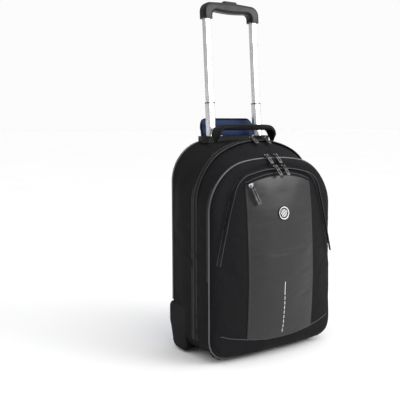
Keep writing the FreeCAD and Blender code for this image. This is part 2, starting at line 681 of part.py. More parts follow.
# ---------------------------------------------------------------- middle section
def middle_section():
    """Wall of the second compartment with its divider against the laptop compartment."""
    ring = middle_volume().cut(middle_volume(-WALL))
    divider = middle_volume(-WALL + 0.5).common(box(-250, 250, MAIN_ZIP_Y - 3.25, MAIN_ZIP_Y, 0, 600))
    front = MIDDLE_ZIP_Y
    slab = box(-250, 250, front, MAIN_ZIP_Y - BODY_GAP, 0, 600)
    return ring.fuse(divider).common(slab)


# ---------------------------------------------------------------- front flap and lower front
POCKET_WAIST = 164.0


def pocket_corners(by=0.0):
    """Outline of the front pocket: full width below, drawn in to an arch above."""
    half = POCKET_WAIST + by
    return [
        (-half, BODY_BOTTOM + 2 - by, 40.0), (half, BODY_BOTTOM + 2 - by, 40.0), (half, 182.0, 60.0),
        (131.0 + by, 318.0, 200.0), (108.0 + by, 394.0 + by, 46.0), (0.0, 419.0 + by, 260.0),
        (-108.0 - by, 394.0 + by, 46.0), (-131.0 - by, 318.0, 200.0), (-half, 182.0, 60.0),
    ]


# Height, foremost y on the centre line, and how far the sides lie behind it at x = 175.
BULGE = [(-10.0, -72.0, 6.0), (25.0, -97.0, 16.0), (60.0, -105.5, 26.0), (115.0, -111.0, 33.0),
         (170.0, -114.0, 37.0), (240.0, -112.5, 38.0), (320.0, -107.0, 36.0), (380.0, -97.5, 30.0),
         (430.0, -87.0, 24.0)]
BULGE_HALF = 175.0


def bulge(by=0.0):
    """Everything behind the crowned front surface."""
    wires = []
    for z, front, fall in BULGE:
        y = front - by
        a = V(-BULGE_HALF, y + fall, z)
        b = V(BULGE_HALF, y + fall, z)
        arc = Part.Arc(a, V(0, y, z), b).toShape()
        c = V(BULGE_HALF, 0, z)
        d = V(-BULGE_HALF, 0, z)
        wires.append(Part.Wire([arc, Part.makeLine(b, c), Part.makeLine(c, d), Part.makeLine(d, a)]))
    return Part.makeLoft(wires, True, False)


def pocket_volume(by=0.0):
    """The pocket's bulk from the flap forwards, moved outwards by a distance."""
    face = Part.Face(rounded_polygon(pocket_corners(by), front_view(POCKET_Y)))
    return face.extrude(V(0, -60, 0)).common(bulge(by))


def base_volume():
    """Padded front panel behind the pocket, rounded at its front rim."""
    blank = plate(MIDDLE_OUTLINE, MIDDLE_ZIP_Y - BODY_GAP, POCKET_Y)
    rim = [e for e in blank.Edges if abs(e.CenterOfMass.y - POCKET_Y) < 0.01]
    return blank.makeFillet(9.0, rim)


def above_fold(shape):
    return shape.common(box(-250, 250, -200, 0, FOLD_Z + BODY_GAP, 600))


def below_fold(shape):
    return shape.common(box(-250, 250, -200, 0, -50, FOLD_Z - BODY_GAP))


def pocket_skin():
    """Skin of the pocket above the fold, open towards the flap."""
    inside = pocket_volume(-SKIN).common(box(-250, 250, -200, 0, FOLD_Z + BODY_GAP + SKIN, 600))
    return above_fold(pocket_volume()).cut(inside)


def front_panel():
    """Flap that closes the second compartment, with the rear part of the pocket's gusset."""
    gusset = pocket_skin().common(box(-250, 250, POCKET_ZIP_Y + BODY_GAP, 0, 0, 600))
    padding = above_fold(base_volume())
    pad_space = middle_volume(-9.0).common(box(-250, 250, -200, 0, FOLD_Z + 9, 600))
    return padding.cut(pad_space).fuse(gusset)


def front_pocket():
    """Front of the pocket, which hinges forward at the fold when its zip is open."""
    return pocket_skin().common(box(-250, 250, -200, POCKET_ZIP_Y - BODY_GAP, 0, 600))


def front_lower():
    """Lower front of the case, below the fold: panel and pocket in one closed skin."""
    bulk = below_fold(base_volume()).fuse(below_fold(pocket_volume()))
    inner = plate(grown(MIDDLE_OUTLINE, -SKIN), MIDDLE_ZIP_Y - BODY_GAP - SKIN, POCKET_Y + SKIN)
    space = inner.fuse(pocket_volume(-SKIN).fuse(pocket_volume(-SKIN - 1).translated(V(0, 6, 0))))
    space = space.common(box(-250, 250, -200, 0, BODY_BOTTOM + SKIN, FOLD_Z - BODY_GAP - SKIN))
    return bulk.cut(space)


PANEL_HALF = 91.0
PANEL_BOTTOM = 46.0
PANEL_LIFT = 1.0


def centre_panel():
    """Smooth panel on the front of the pocket."""
    corners = [(-PANEL_HALF, PANEL_BOTTOM, 2.0), (PANEL_HALF, PANEL_BOTTOM, 2.0),
               (PANEL_HALF, 378.0, 4.0), (0.0, 411.0, 240.0), (-PANEL_HALF, 378.0, 4.0)]
    face = Part.Face(rounded_polygon(corners, front_view(-60.0)))
    return above_fold(face.extrude(V(0, -90, 0)).common(bulge(PANEL_LIFT)).cut(bulge(0.0)))


BADGE_Z = 316.0
BADGE_R = 16.0
BADGE_Y = -108.4
BADGE_RIM = 2.4
BADGE_LEAN = -6.0


def badge():
    """Plain round plate with a raised rim, lying on the slope of the panel."""
    disc = rod(BADGE_R, V(0, BADGE_Y + 1.5, BADGE_Z), V(0, BADGE_Y - 1.6, BADGE_Z))
    disc = disc.cut(rod(BADGE_R - BADGE_RIM, V(0, BADGE_Y - 0.8, BADGE_Z), V(0, BADGE_Y - 3, BADGE_Z)))
    disc.rotate(V(0, BADGE_Y, BADGE_Z), X_AXIS, BADGE_LEAN)
    return disc.cut(bulge(PANEL_LIFT))


PIPING_R = 1.7


def front_piping():
    """Round piping sewn into the edge of the flap."""
    stand_off = PIPING_R + 0.05
    y = MIDDLE_ZIP_Y - 2.6
    path = arch_wire(grown(MIDDLE_OUTLINE, stand_off), y)
    profile = Part.Wire(Part.makeCircle(PIPING_R, V(0, y, MIDDLE_OUTLINE[2] + stand_off), X_AXIS))
    pipe = path.makePipeShell([profile], True, False)
    return above_fold(pipe)


# ---------------------------------------------------------------- zips
TAPE = 1.0
TAPE_WIDTH = 9.0
TEETH = 2.2
TEETH_WIDTH = 2.6


def zip_half(volume, y, towards, bottom_z):
    """Tape and teeth of one zip half, on the side of plane y that towards points to."""
    near = y + towards * BODY_GAP
    far = y + towards * TAPE_WIDTH
    teeth_end = y + towards * TEETH_WIDTH
    tape = band(volume, min(near, far), max(near, far), TAPE, bottom_z)
    teeth = band(volume, min(near, teeth_end), max(near, teeth_end), TEETH, bottom_z)
    return tape.fuse(teeth)


def main_zip_rear():
    return zip_half(rear_volume, MAIN_ZIP_Y, 1, 40.0).cut(bezel_space())


def middle_section_zips():
    """Front half of the main zip and rear half of the middle zip."""
    first = zip_half(middle_volume, MAIN_ZIP_Y, -1, 40.0)
    second = zip_half(middle_volume, MIDDLE_ZIP_Y, 1, FOLD_Z + 2)
    return Part.makeCompound([first, second])


POCKET_ZIP_Y = POCKET_Y - 7.0
POCKET_ZIP_END = 214.0
PANEL_SHOULDER = 378.0
PANEL_ZIP_WIDTH = 5.0


def panel_arch(shoulder):
    """Deep block under an arch as wide as the smooth panel, standing on a level inside the panel."""
    half = PANEL_HALF - 1
    corners = [(-half, 300.0, 0.0), (half, 300.0, 0.0), (half, shoulder, 0.0), (0.0, shoulder + 33.0, 240.0),
               (-half, shoulder, 0.0)]
    return Part.Face(rounded_polygon(corners, front_view(-60.0))).extrude(V(0, -90, 0))


def pocket_zips():
    """Zip round the top of the front pocket and the short zip over the smooth panel."""
    ring = Part.Face(rounded_polygon(pocket_corners(1.4), front_view(POCKET_ZIP_Y - BODY_GAP)))
    core = Part.Face(rounded_polygon(pocket_corners(0.0), front_view(POCKET_ZIP_Y + 5)))
    pocket_zip = ring.extrude(V(0, -3, 0)).cut(core.extrude(V(0, -15, 0)))
    pocket_zip = pocket_zip.common(box(-250, 250, -200, 0, POCKET_ZIP_END, 600))
    strip = panel_arch(PANEL_SHOULDER + PANEL_ZIP_WIDTH).cut(panel_arch(PANEL_SHOULDER + 0.8))
    panel_zip = strip.common(bulge(1.3)).cut(bulge(0.0)).cut(pocket_zip)
    return Part.makeCompound([pocket_zip, panel_zip])


def slider():
    """Slider drawn flat at the origin with its nose along X, and a bail across it."""
    body = prism(rectangle(-5.5, 5.5, -4.2, 4.2, 2.0), plan_view(0.0), V(0, 0, 1.6))
    legs = [(-3.6, 1.6, 0.0), (3.6, 1.6, 0.0), (2.6, 5.4, 1.2), (-2.6, 5.4, 1.2)]
    eye = [(-1.9, 1.0, 0.0), (1.9, 1.0, 0.0), (1.5, 4.2, 0.8), (-1.5, 4.2, 0.8)]
    bail = prism(legs, side_view(-1.1), V(2.2, 0, 0)).cut(prism(eye, side_view(-3), V(6, 0, 0)))
    return body.fuse(bail)


BAIL_Z = 2.9


def pull(length):
    """Open pull tab lying towards -Y from its pin, which runs through the bail."""
    z = BAIL_Z
    pin = rod(1.0, V(-3.4, 0, z), V(3.4, 0, z))
    arms = both_sides(box(2.4, 3.8, -9.0, 1.0, z - 0.8, z + 0.8))
    tab = prism([(-3.8, -9.0, 0.0), (3.8, -9.0, 0.0), (4.4, -length, 2.0), (-4.4, -length, 2.0)],
                plan_view(z - 1.2), V(0, 0, 2.4))
    window = prism(rectangle(-1.6, 1.6, -length + 5.5, -11.0, 1.4), plan_view(z - 5), V(0, 0, 10))
    return pin.fuse(arms).fuse(tab).cut(window)


# Each zip's crown as a circle: centre y and z, radius, backward tilt of its plane in degrees,
# how far its sliders lean forward, and how far they stand off the outline.
TRACKS = {
    "main": (MAIN_ZIP_Y, MAIN_OUTLINE[2] - MAIN_OUTLINE[3], MAIN_OUTLINE[3], 0.0, 30.0, 3.0),
    "middle": (MIDDLE_ZIP_Y, MIDDLE_OUTLINE[2] - MIDDLE_OUTLINE[3], MIDDLE_OUTLINE[3], 0.0, 42.0, 6.2),
    "pocket": (POCKET_ZIP_Y, 152.2, 260.0, 0.0, 45.0, 4.4),
    "panel": (-43.0, 202.0, 200.5, 16.0, 62.0, 3.0),
}

# Track, place along the crown in degrees from the middle, and length of the pull.
SLIDERS = {
    "main_left": ("main", -3.9, 27.0),
    "main_right": ("main", 6.2, 27.0),
    "middle_left": ("middle", -2.4, 26.0),
    "middle_right": ("middle", 1.2, 26.0),
    "pocket_left": ("pocket", -1.8, 27.0),
    "pocket_right": ("pocket", 3.1, 27.0),
    "panel": ("panel", -23.5, 44.0),
}


def on_track(shape, track, degrees):
    """Puts a slider or pull drawn at the origin on its zip."""
    y, z, radius, tilt, lean, lift = TRACKS[track]
    shape = shape.copy()
    shape.rotate(V(0, 0, 0), X_AXIS, lean)
    up = V(0, -math.sin(math.radians(lean)), math.cos(math.radians(lean)))
    shape.translate(V(0, 0, radius) + up * lift)
    shape.rotate(V(0, 0, 0), Y_AXIS, degrees)
    shape.rotate(V(0, 0, 0), X_AXIS, tilt)
    shape.translate(V(0, y, z))
    return shape


PULL_DROOP = 2.0


def zip_slider(name):
    track, degrees, _ = SLIDERS[name]
    return on_track(slider(), track, degrees)


def zip_pull(name):
    track, degrees, length = SLIDERS[name]
    tab = pull(length)
    tab.rotate(V(0, 0, BAIL_Z), X_AXIS, PULL_DROOP)
    return on_track(tab, track, degrees)


def write(name, shape):
    shape.exportStep(f"parts/{name}.step")
    solids = shape.Solids
    print(f"{name}: {len(solids)} solids, valid {shape.isValid()}, {shape.Volume / 1000:.1f} cm3")


def main():
    os.makedirs("parts", exist_ok=True)
    write("rear_shell", rear_shell())
    write("back_yoke", back_yoke())
    write("back_pads", back_pads())
    write("wheel_cover_pocket", wheel_cover_pocket())
    write("wheel_cover", wheel_cover())
    for side in SIDES:
        write(f"wheel_hub_{side}", wheel_hub(side))
        write(f"tyre_{side}", tyre(side))
        write(f"lock_pin_{side}", lock_pin(side))
    write("shoulder_straps", shoulder_straps())
    write("strap_buckles", strap_buckles())
    write("strap_webbing", strap_webbing())
    write("wheel_housings", wheel_housings())
    write("inner_board", inner_board())
    write("laptop_sleeve", laptop_sleeve())
    write("axles", axles())
    write("wheel_bearings", wheel_bearings())
    write("outer_tubes", outer_tubes())
    write("handle_bezel", handle_bezel())
    write("tube_bracket", tube_bracket())
    write("front_feet", front_feet())
    write("foot_screws", foot_screws())
    write("main_zip_rear", main_zip_rear())
    write("middle_tubes", middle_tubes())
    write("middle_collars", middle_collars())
    write("upper_tubes", upper_tubes())
    write("guide_plugs", guide_plugs())
    write("grip_body", grip_body())
    write("grip_cap", grip_cap())
    write("release_button", release_button())
    write("push_rods", push_rods())
    write("button_spring", button_spring())
    write("carry_handle", carry_handle())
    write("carry_anchors", carry_anchors())
    write("handle_cover", handle_cover())
    write("middle_section", middle_section())
    write("middle_section_zips", middle_section_zips())
    write("front_lower", front_lower())
    write("front_panel", front_panel())
    write("front_pocket", front_pocket())
    write("centre_panel", centre_panel())
    write("badge", badge())
    write("front_piping", front_piping())
    write("pocket_zips", pocket_zips())
    for name in SLIDERS:
        write(f"slider_{name}", zip_slider(name))
        write(f"pull_{name}", zip_pull(name))


main()
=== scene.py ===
"""Looks of a rolling laptop case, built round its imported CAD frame.

Metres; X to the right seen from the front, Y to the back, Z up. The sections follow the case as it is
put together: rear section, back and straps, trolley, wheels, top, middle section, front, zips, studio.
"""

import math

import bmesh
import bpy
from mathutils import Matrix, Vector, noise


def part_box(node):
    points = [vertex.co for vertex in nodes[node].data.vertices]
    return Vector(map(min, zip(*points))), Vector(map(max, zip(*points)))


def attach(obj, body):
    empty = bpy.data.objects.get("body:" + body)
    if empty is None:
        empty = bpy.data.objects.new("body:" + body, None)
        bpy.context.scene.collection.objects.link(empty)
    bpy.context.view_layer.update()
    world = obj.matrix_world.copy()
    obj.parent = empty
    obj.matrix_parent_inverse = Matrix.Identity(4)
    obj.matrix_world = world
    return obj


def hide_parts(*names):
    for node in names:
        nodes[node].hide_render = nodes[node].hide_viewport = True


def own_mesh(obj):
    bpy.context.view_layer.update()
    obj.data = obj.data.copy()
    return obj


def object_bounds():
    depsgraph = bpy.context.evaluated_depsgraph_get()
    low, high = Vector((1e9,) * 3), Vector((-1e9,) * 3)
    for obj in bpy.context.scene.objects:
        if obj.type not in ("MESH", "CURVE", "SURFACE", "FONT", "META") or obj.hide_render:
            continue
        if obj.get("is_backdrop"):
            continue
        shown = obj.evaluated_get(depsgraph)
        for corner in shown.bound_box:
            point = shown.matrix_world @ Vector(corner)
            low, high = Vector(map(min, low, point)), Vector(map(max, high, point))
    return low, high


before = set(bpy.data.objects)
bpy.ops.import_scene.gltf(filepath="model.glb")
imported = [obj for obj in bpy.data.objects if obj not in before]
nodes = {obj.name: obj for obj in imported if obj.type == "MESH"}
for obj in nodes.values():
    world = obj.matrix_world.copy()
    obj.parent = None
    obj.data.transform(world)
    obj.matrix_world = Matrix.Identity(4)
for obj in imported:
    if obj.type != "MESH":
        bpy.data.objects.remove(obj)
bpy.ops.object.select_all(action="DESELECT")
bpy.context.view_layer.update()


# ---------------------------------------------------------------- rear section
# The soft rear wall runs round the laptop compartment, from the main zip to the back. It is black
# nylon over thin foam, sewn to the back panel with a piped seam and stiffened by the base board.
MAIN_ZIP_Y = -0.008
BACK_Y = 0.081
# Half width, bottom, crown height, crown radius, shoulder radius, foot radius
BACK_ARCH = (0.166, 0.010, 0.472, 0.900, 0.088, 0.030)
MAIN_ARCH = (0.166, 0.010, 0.474, 0.205, 0.121, 0.040)
MIDDLE_ARCH = (0.166, 0.010, 0.434, 0.400, 0.105, 0.040)
WALL = 0.0035
# Half of the gap between two bodies that part at a zip
PARTING = 0.0003


def arch_corners(arch, rise=0.0):
    """Corners (x, z, radius, segments) of an arch outline, moved outwards by a rise."""
    half, bottom, crown, crown_r, shoulder_r, foot_r = arch
    half, bottom, crown = half + rise, bottom - rise, crown + rise
    crown_r, shoulder_r, foot_r = crown_r + rise, shoulder_r + rise, foot_r + rise
    turn = math.asin((half - shoulder_r) / (crown_r - shoulder_r))
    touch_x = crown_r * math.sin(turn)
    touch_z = crown - crown_r + crown_r * math.cos(turn)
    shoulder_z = touch_z - (half - touch_x) * math.tan(turn)
    apex = touch_z + touch_x * math.tan(turn)
    return [(-half, bottom, foot_r, 6), (half, bottom, foot_r, 6), (half, shoulder_z, shoulder_r, 16),
            (0.0, apex, crown_r, 18), (-half, shoulder_z, shoulder_r, 16)]


def outline_loop(bm, corners, y):
    """Closed loop of edges in the plane y: a few corners, each rounded by a bevel."""
    verts = [bm.verts.new((x, y, z)) for x, z, _, _ in corners]
    bm.faces.new(verts)
    count = len(corners)
    for i, (x, z, radius, segments) in enumerate(corners):
        if radius <= 0:
            continue
        here = Vector((x, z))
        to_last = (Vector(corners[i - 1][:2]) - here).normalized()
        to_next = (Vector(corners[(i + 1) % count][:2]) - here).normalized()
        reach = radius / math.tan(to_last.angle(to_next) / 2)
        bmesh.ops.bevel(bm, geom=[verts[i]], offset=reach * 0.9995, offset_type="OFFSET", affect="VERTICES",
                        segments=segments, profile=0.5, material=-1)
    flat = [v for v in bm.verts if abs(v.co.y - y) < 1e-7]
    bmesh.ops.remove_doubles(bm, verts=flat, dist=2e-4)
    face = [f for f in bm.faces if all(abs(v.co.y - y) < 1e-7 for v in f.verts)][0]
    edges = list(face.edges)
    bmesh.ops.delete(bm, geom=[face], context="FACES_ONLY")
    return edges


def banded(stations):
    """Bmesh of a wall bridged through outline loops given as (corners, y)."""
    bm = bmesh.new()
    loops = [outline_loop(bm, corners, y) for corners, y in stations]
    for first, second in zip(loops, loops[1:]):
        bmesh.ops.bridge_loops(bm, edges=first + second)
    bmesh.ops.recalc_face_normals(bm, faces=bm.faces)
    return bm


def cut_long(bm, longest):
    """Splits every edge until none is longer than a length."""
    for _ in range(6):
        edges = [e for e in bm.edges if e.calc_length() > longest]
        if not edges:
            break
        bmesh.ops.subdivide_edges(bm, edges=edges, cuts=1, use_grid_fill=True)


FOLD_ANGLE = 50.0


def piece(bm, name, material, body, *replaced, slot=None, smooth=True):
    """Turns a bmesh into a named piece that rides on a body; with no body it is finished later."""
    made = mesh_object(name, bm)
    dress(made.data, material)
    if smooth:
        shade_smooth(made.data)
    finish_piece(made, body, *replaced, slot=slot)
    return made


def linked(name, data):
    """New object in the scene."""
    made = bpy.data.objects.new(name, data)
    bpy.context.scene.collection.objects.link(made)
    return made


def mesh_object(name, bm):
    mesh = bpy.data.meshes.new(name)
    bm.to_mesh(mesh)
    bm.free()
    return linked(name, mesh)


def dress(mesh, *materials):
    """Gives a mesh these materials and no others."""
    mesh.materials.clear()
    for material in materials:
        mesh.materials.append(material)


def all_smooth(mesh):
    mesh.polygons.foreach_set("use_smooth", [True] * len(mesh.polygons))


def shade_smooth(mesh):
    """Smooth shading that breaks at edges sharper than a fold."""
    all_smooth(mesh)
    mesh.set_sharp_from_angle(angle=math.radians(FOLD_ANGLE))


def finish_piece(made, body, *replaced, slot=None):
    """Puts a piece on its body and hides the CAD nodes it stands for; the slot, its finish, is not used."""
    if body:
        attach(made, body)
    if replaced:
        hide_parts(*replaced)


def apply_modifiers(made):
    """Makes a piece's modifiers part of its mesh."""
    graph = bpy.context.evaluated_depsgraph_get()
    mesh = bpy.data.meshes.new_from_object(made.evaluated_get(graph))
    old = made.data
    made.modifiers.clear()
    made.data = mesh
    bpy.data.meshes.remove(old)
    shade_smooth(mesh)


CLOTH_FRAMES, CLOTH_STIFFNESS = 20, 15.0


def inflate(made, held, pressure, cap, slack=0.0):
    """Presses a piece out as cloth while its seams are held, and keeps the shape. No point moves by
    more than the cap."""
    seams = made.vertex_groups.new(name="held")
    seams.add([v.index for v in made.data.vertices if held(v.co)], 1.0, "REPLACE")
    cloth = made.modifiers.new("cloth", "CLOTH")
    cloth.settings.quality = 6
    cloth.settings.mass = 0.25
    cloth.settings.tension_stiffness = CLOTH_STIFFNESS
    cloth.settings.compression_stiffness = CLOTH_STIFFNESS
    cloth.settings.shear_stiffness = CLOTH_STIFFNESS / 2
    cloth.settings.bending_stiffness = 0.6
    cloth.settings.use_pressure = True
    cloth.settings.uniform_pressure_force = pressure
    cloth.settings.shrink_min = -slack
    cloth.settings.vertex_group_mass = "held"
    cloth.settings.effector_weights.gravity = 0.0
    cloth.collision_settings.use_collision = False
    cloth.point_cache.frame_end = CLOTH_FRAMES
    rest = [v.co.copy() for v in made.data.vertices]
    scene = bpy.context.scene
    for step in range(1, CLOTH_FRAMES + 1):
        scene.frame_set(step)
    graph = bpy.context.evaluated_depsgraph_get()
    pressed = [v.co.copy() for v in made.evaluated_get(graph).data.vertices]
    made.modifiers.remove(cloth)
    for v, before, after in zip(made.data.vertices, rest, pressed):
        move = after - before
        if move.length > cap:
            move *= cap / move.length
        v.co = before + move
    scene.frame_set(1)
    made.vertex_groups.remove(seams)


def ruffle(made, held, size, amount):
    """Uneven drape of slack cloth: soft noise along the normals, fading out at the seams."""
    normals = [v.normal.copy() for v in made.data.vertices]
    for v, normal in zip(made.data.vertices, normals):
        if not held(v.co):
            place = Vector((v.co.x, v.co.y, v.co.z * 0.6)) / size
            v.co += normal * amount * (noise.noise(place) + 0.5 * noise.noise(place * 2.1))


def smoothed(made):
    """One level of subdivision, left as a modifier."""
    smoothing = made.modifiers.new("smooth", "SUBSURF")
    smoothing.levels = smoothing.render_levels = 1


def soften(made):
    """One level of subdivision, applied."""
    smoothed(made)
    apply_modifiers(made)


def thicken(made, thickness, offset=-1.0):
    """Gives a sheet its thickness, inwards from its face, applied."""
    wall = made.modifiers.new("wall", "SOLIDIFY")
    wall.thickness = thickness
    wall.offset = offset
    apply_modifiers(made)


def bisect(bm, point, normal, clear=False):
    """Cuts a bmesh through a plane; clear takes away the side that the normal points to."""
    geometry = list(bm.verts) + list(bm.edges) + list(bm.faces)
    cut = bmesh.ops.bisect_plane(bm, geom=geometry, plane_co=point, plane_no=normal, clear_outer=clear)
    return cut["geom_cut"]


def slice_along(bm, axis, levels):
    """Cuts a bmesh square to an axis at each level."""
    normal = [float(i == axis) for i in range(3)]
    for level in levels:
        bisect(bm, [level] * 3, normal)


def flat_sheet(name, corners, y, material, body):
    """Flat sheet inside an outline."""
    bm = bmesh.new()
    outline = outline_loop(bm, corners, y)
    bmesh.ops.edgeloop_fill(bm, edges=outline)
    bmesh.ops.recalc_face_normals(bm, faces=bm.faces)
    piece(bm, name, material, body, slot="shell_fabric", smooth=False)


def cut_away(made, boxes):
    """Removes the faces inside boxes given as (low, high), along straight edges."""
    bm = bmesh.new()
    bm.from_mesh(made.data)
    for low, high in boxes:
        for axis in range(3):
            slice_along(bm, axis, (low[axis], high[axis]))
        inside = [f for f in bm.faces
                  if all(low[i] < f.calc_center_median()[i] < high[i] for i in range(3))]
        bmesh.ops.delete(bm, geom=inside, context="FACES")
    bm.to_mesh(made.data)
    bm.free()


def add(tree, kind, inputs=None, **settings):
    """A shader node; inputs are values or sockets to link, settings are its own properties."""
    made = tree.nodes.new(kind)
    for key, value in settings.items():
        setattr(made, key, value)
    for key, value in (inputs or {}).items():
        if isinstance(value, bpy.types.NodeSocket):
            tree.links.new(value, made.inputs[key])
        else:
            made.inputs[key].default_value = value
    return made


def group(name, inputs, outputs):
    """New shader node group with named sockets given as (name, kind, default)."""
    tree = bpy.data.node_groups.new(name, "ShaderNodeTree")
    for label, kind, default in inputs:
        socket = tree.interface.new_socket(name=label, in_out="INPUT", socket_type=kind)
        if default is not None:
            socket.default_value = default
    for label, kind in outputs:
        tree.interface.new_socket(name=label, in_out="OUTPUT", socket_type=kind)
    return tree, tree.nodes.new("NodeGroupInput"), tree.nodes.new("NodeGroupOutput")


def math_node(tree, operation, a, b=0.0):
    return add(tree, "ShaderNodeMath", {0: a, 1: b}, operation=operation).outputs[0]


VECTOR, FLOAT = "NodeSocketVector", "NodeSocketFloat"


def make_weave():
    """Plain weave on any face: crossing threads in the three planes, with slubs."""
    tree, given, out = group("weave", [("Vector", VECTOR, None), ("Threads", FLOAT, 900.0)],
                             [("Height", FLOAT), ("Tone", FLOAT)])
    scaled = add(tree, "ShaderNodeVectorMath", {0: given.outputs["Vector"]}, operation="SCALE")
    tree.links.new(given.outputs["Threads"], scaled.inputs["Scale"])
    axes = add(tree, "ShaderNodeSeparateXYZ", {0: scaled.outputs[0]})
    waves = [math_node(tree, "SINE", axes.outputs[i]) for i in range(3)]
    crossings = [math_node(tree, "MULTIPLY", waves[i], waves[j]) for i, j in ((0, 1), (1, 2), (0, 2))]
    total = math_node(tree, "ADD", math_node(tree, "ADD", crossings[0], crossings[1]), crossings[2])
    height = add(tree, "ShaderNodeMapRange", {"Value": total, "From Min": -1.5, "From Max": 1.5})
    slubs = add(tree, "ShaderNodeTexNoise", {"Vector": scaled.outputs[0], "Scale": 0.08, "Detail": 3.0})
    tree.links.new(height.outputs[0], out.inputs["Height"])
    tree.links.new(slubs.outputs[0], out.inputs["Tone"])
    return tree


def make_patches():
    """Broad uneven patches, such as handling marks and dust on cloth or plastic."""
    tree, given, out = group("patches", [("Vector", VECTOR, None), ("Scale", FLOAT, 9.0)], [("Mask", FLOAT)])
    broad = add(tree, "ShaderNodeTexNoise", {"Vector": given.outputs["Vector"], "Detail": 4.0,
                                             "Roughness": 0.6})
    tree.links.new(given.outputs["Scale"], broad.inputs["Scale"])
    mask = add(tree, "ShaderNodeMapRange", {"Value": broad.outputs[0], "From Min": 0.35, "From Max": 0.65})
    tree.links.new(mask.outputs[0], out.inputs["Mask"])
    return tree


WEAVE = make_weave()
PATCHES = make_patches()


def start_material(name, **uniform):
    """Material with a Principled shader whose uniform values are set on its own sockets."""
    material = bpy.data.materials.new(name)
    material.use_nodes = True
    tree = material.node_tree
    shader = tree.nodes["Principled BSDF"]
    for key, value in uniform.items():
        shader.inputs[key.replace("_", " ")].default_value = value
    place = tree.nodes.new("ShaderNodeTexCoord").outputs["Object"]
    return material, tree, shader, place


def placed(tree, which, **inputs):
    """A shader node group placed in a material."""
    return add(tree, "ShaderNodeGroup", inputs, node_tree=which)


def mix_colour(tree, mask, first, second):
    made = add(tree, "ShaderNodeMix", {0: mask}, data_type="RGBA")
    for socket, value in ((made.inputs[6], first), (made.inputs[7], second)):
        if isinstance(value, bpy.types.NodeSocket):
            tree.links.new(value, socket)
        else:
            socket.default_value = (*value, 1.0)
    return made.outputs[2]


def paint(tree, shader, mask, dark, light):
    """Colour that goes from dark to light with a mask."""
    tree.links.new(mix_colour(tree, mask, dark, light), shader.inputs["Base Color"])


def roughen(tree, shader, mask, low, high):
    """Roughness that follows a mask."""
    made = add(tree, "ShaderNodeMapRange", {"Value": mask, "To Min": low, "To Max": high})
    tree.links.new(made.outputs[0], shader.inputs["Roughness"])


def bump(tree, shader, height, strength, distance):
    made = add(tree, "ShaderNodeBump", {"Height": height, "Strength": strength, "Distance": distance})
    tree.links.new(made.outputs[0], shader.inputs["Normal"])


def cloth_material(name, dark, light, threads=2600.0, rough=(0.62, 0.82), relief=0.35, sheen=0.0):
    """Woven cloth: thread relief, slubs and broad tone patches."""
    material, tree, shader, place = start_material(name, Sheen_Weight=sheen, Sheen_Roughness=0.5,
                                                   Specular_IOR_Level=0.08)
    weave = placed(tree, WEAVE, Vector=place, Threads=threads)
    patches = placed(tree, PATCHES, Vector=place, Scale=11.0)
    tone = math_node(tree, "MULTIPLY", weave.outputs["Tone"], 0.7)
    tone = math_node(tree, "ADD", tone, math_node(tree, "MULTIPLY", patches.outputs["Mask"], 0.25))
    paint(tree, shader, tone, dark, light)
    roughen(tree, shader, patches.outputs["Mask"], *rough)
    bump(tree, shader, weave.outputs["Height"], relief, 0.0006)
    return material


def stitches(name, path, facing, material, body, slot="strap_fabric", pitch=0.0042, length=0.0030):
    """Row of sewn stitches along a list of points; facing is the way the cloth looks there."""
    half_width, sunk, proud, top_share = 0.00035, -0.0003, 0.00035, 0.7
    bm = bmesh.new()
    carried = 0.0
    facing = Vector(facing).normalized()
    for start, end in zip(path, path[1:]):
        start, end = Vector(start), Vector(end)
        run = (end - start).length
        along = (end - start).normalized()
        across = along.cross(facing).normalized()
        out = across.cross(along).normalized()
        while carried + length < run:
            middle = start + along * (carried + length / 2)
            corners = []
            for lift, share in ((sunk, 1.0), (proud, top_share)):
                for u, w in ((-1, -1), (1, -1), (1, 1), (-1, 1)):
                    flat = along * u * length / 2 * share + across * w * half_width * share
                    corners.append(bm.verts.new(middle + flat + out * lift))
            low, high = corners[:4], corners[4:]
            bm.faces.new(high)
            for i in range(4):
                bm.faces.new((low[i], low[(i + 1) % 4], high[(i + 1) % 4], high[i]))
            bm.faces.new(low[::-1])
            carried += pitch
        carried = max(carried - run, 0.0)
    return piece(bm, name, material, body, slot=slot, smooth=False)


SHELL_CLOTH = cloth_material("shell_nylon", (0.0045, 0.0045, 0.0052), (0.0135, 0.0135, 0.0150))
THREAD = cloth_material("thread", (0.070, 0.068, 0.066), (0.120, 0.117, 0.114), threads=5000.0)
LINING_CLOTH = cloth_material("lining", (0.05, 0.05, 0.055), (0.09, 0.09, 0.10), rough=(0.5, 0.7))


def rear_seam(co):
    return co.y < MAIN_ZIP_Y + 0.004 or co.y > BACK_Y - 0.003 or co.z < 0.012 or co.z > 0.462


def nylon_wall(name, loops, seam, cap, size, amount):
    """Wall of slack nylon round a compartment, blown out between its seams."""
    bm = banded(loops)
    cut_long(bm, 0.011)
    made = piece(bm, name, SHELL_CLOTH, None)
    inflate(made, seam, pressure=2.5, cap=cap, slack=0.006)
    ruffle(made, seam, size, amount)
    soften(made)
    return made


rear_wall = nylon_wall("rear_wall", [(arch_corners(MAIN_ARCH), MAIN_ZIP_Y + PARTING),
                                     (arch_corners(BACK_ARCH), BACK_Y)],
                       rear_seam, cap=0.006, size=0.05, amount=0.0011)
# Openings for the handle well, and for the wheel housings at the corners.
FAR = 1.0
cut_away(rear_wall, [((-0.093, 0.060, 0.40), (0.093, FAR, FAR)), ((0.126, 0.026, 0.0), (FAR, FAR, 0.106)),
                     ((-FAR, 0.026, 0.0), (-0.126, FAR, 0.106))])
thicken(rear_wall, WALL)
finish_piece(rear_wall, "case", "rear_shell", slot="shell_fabric")


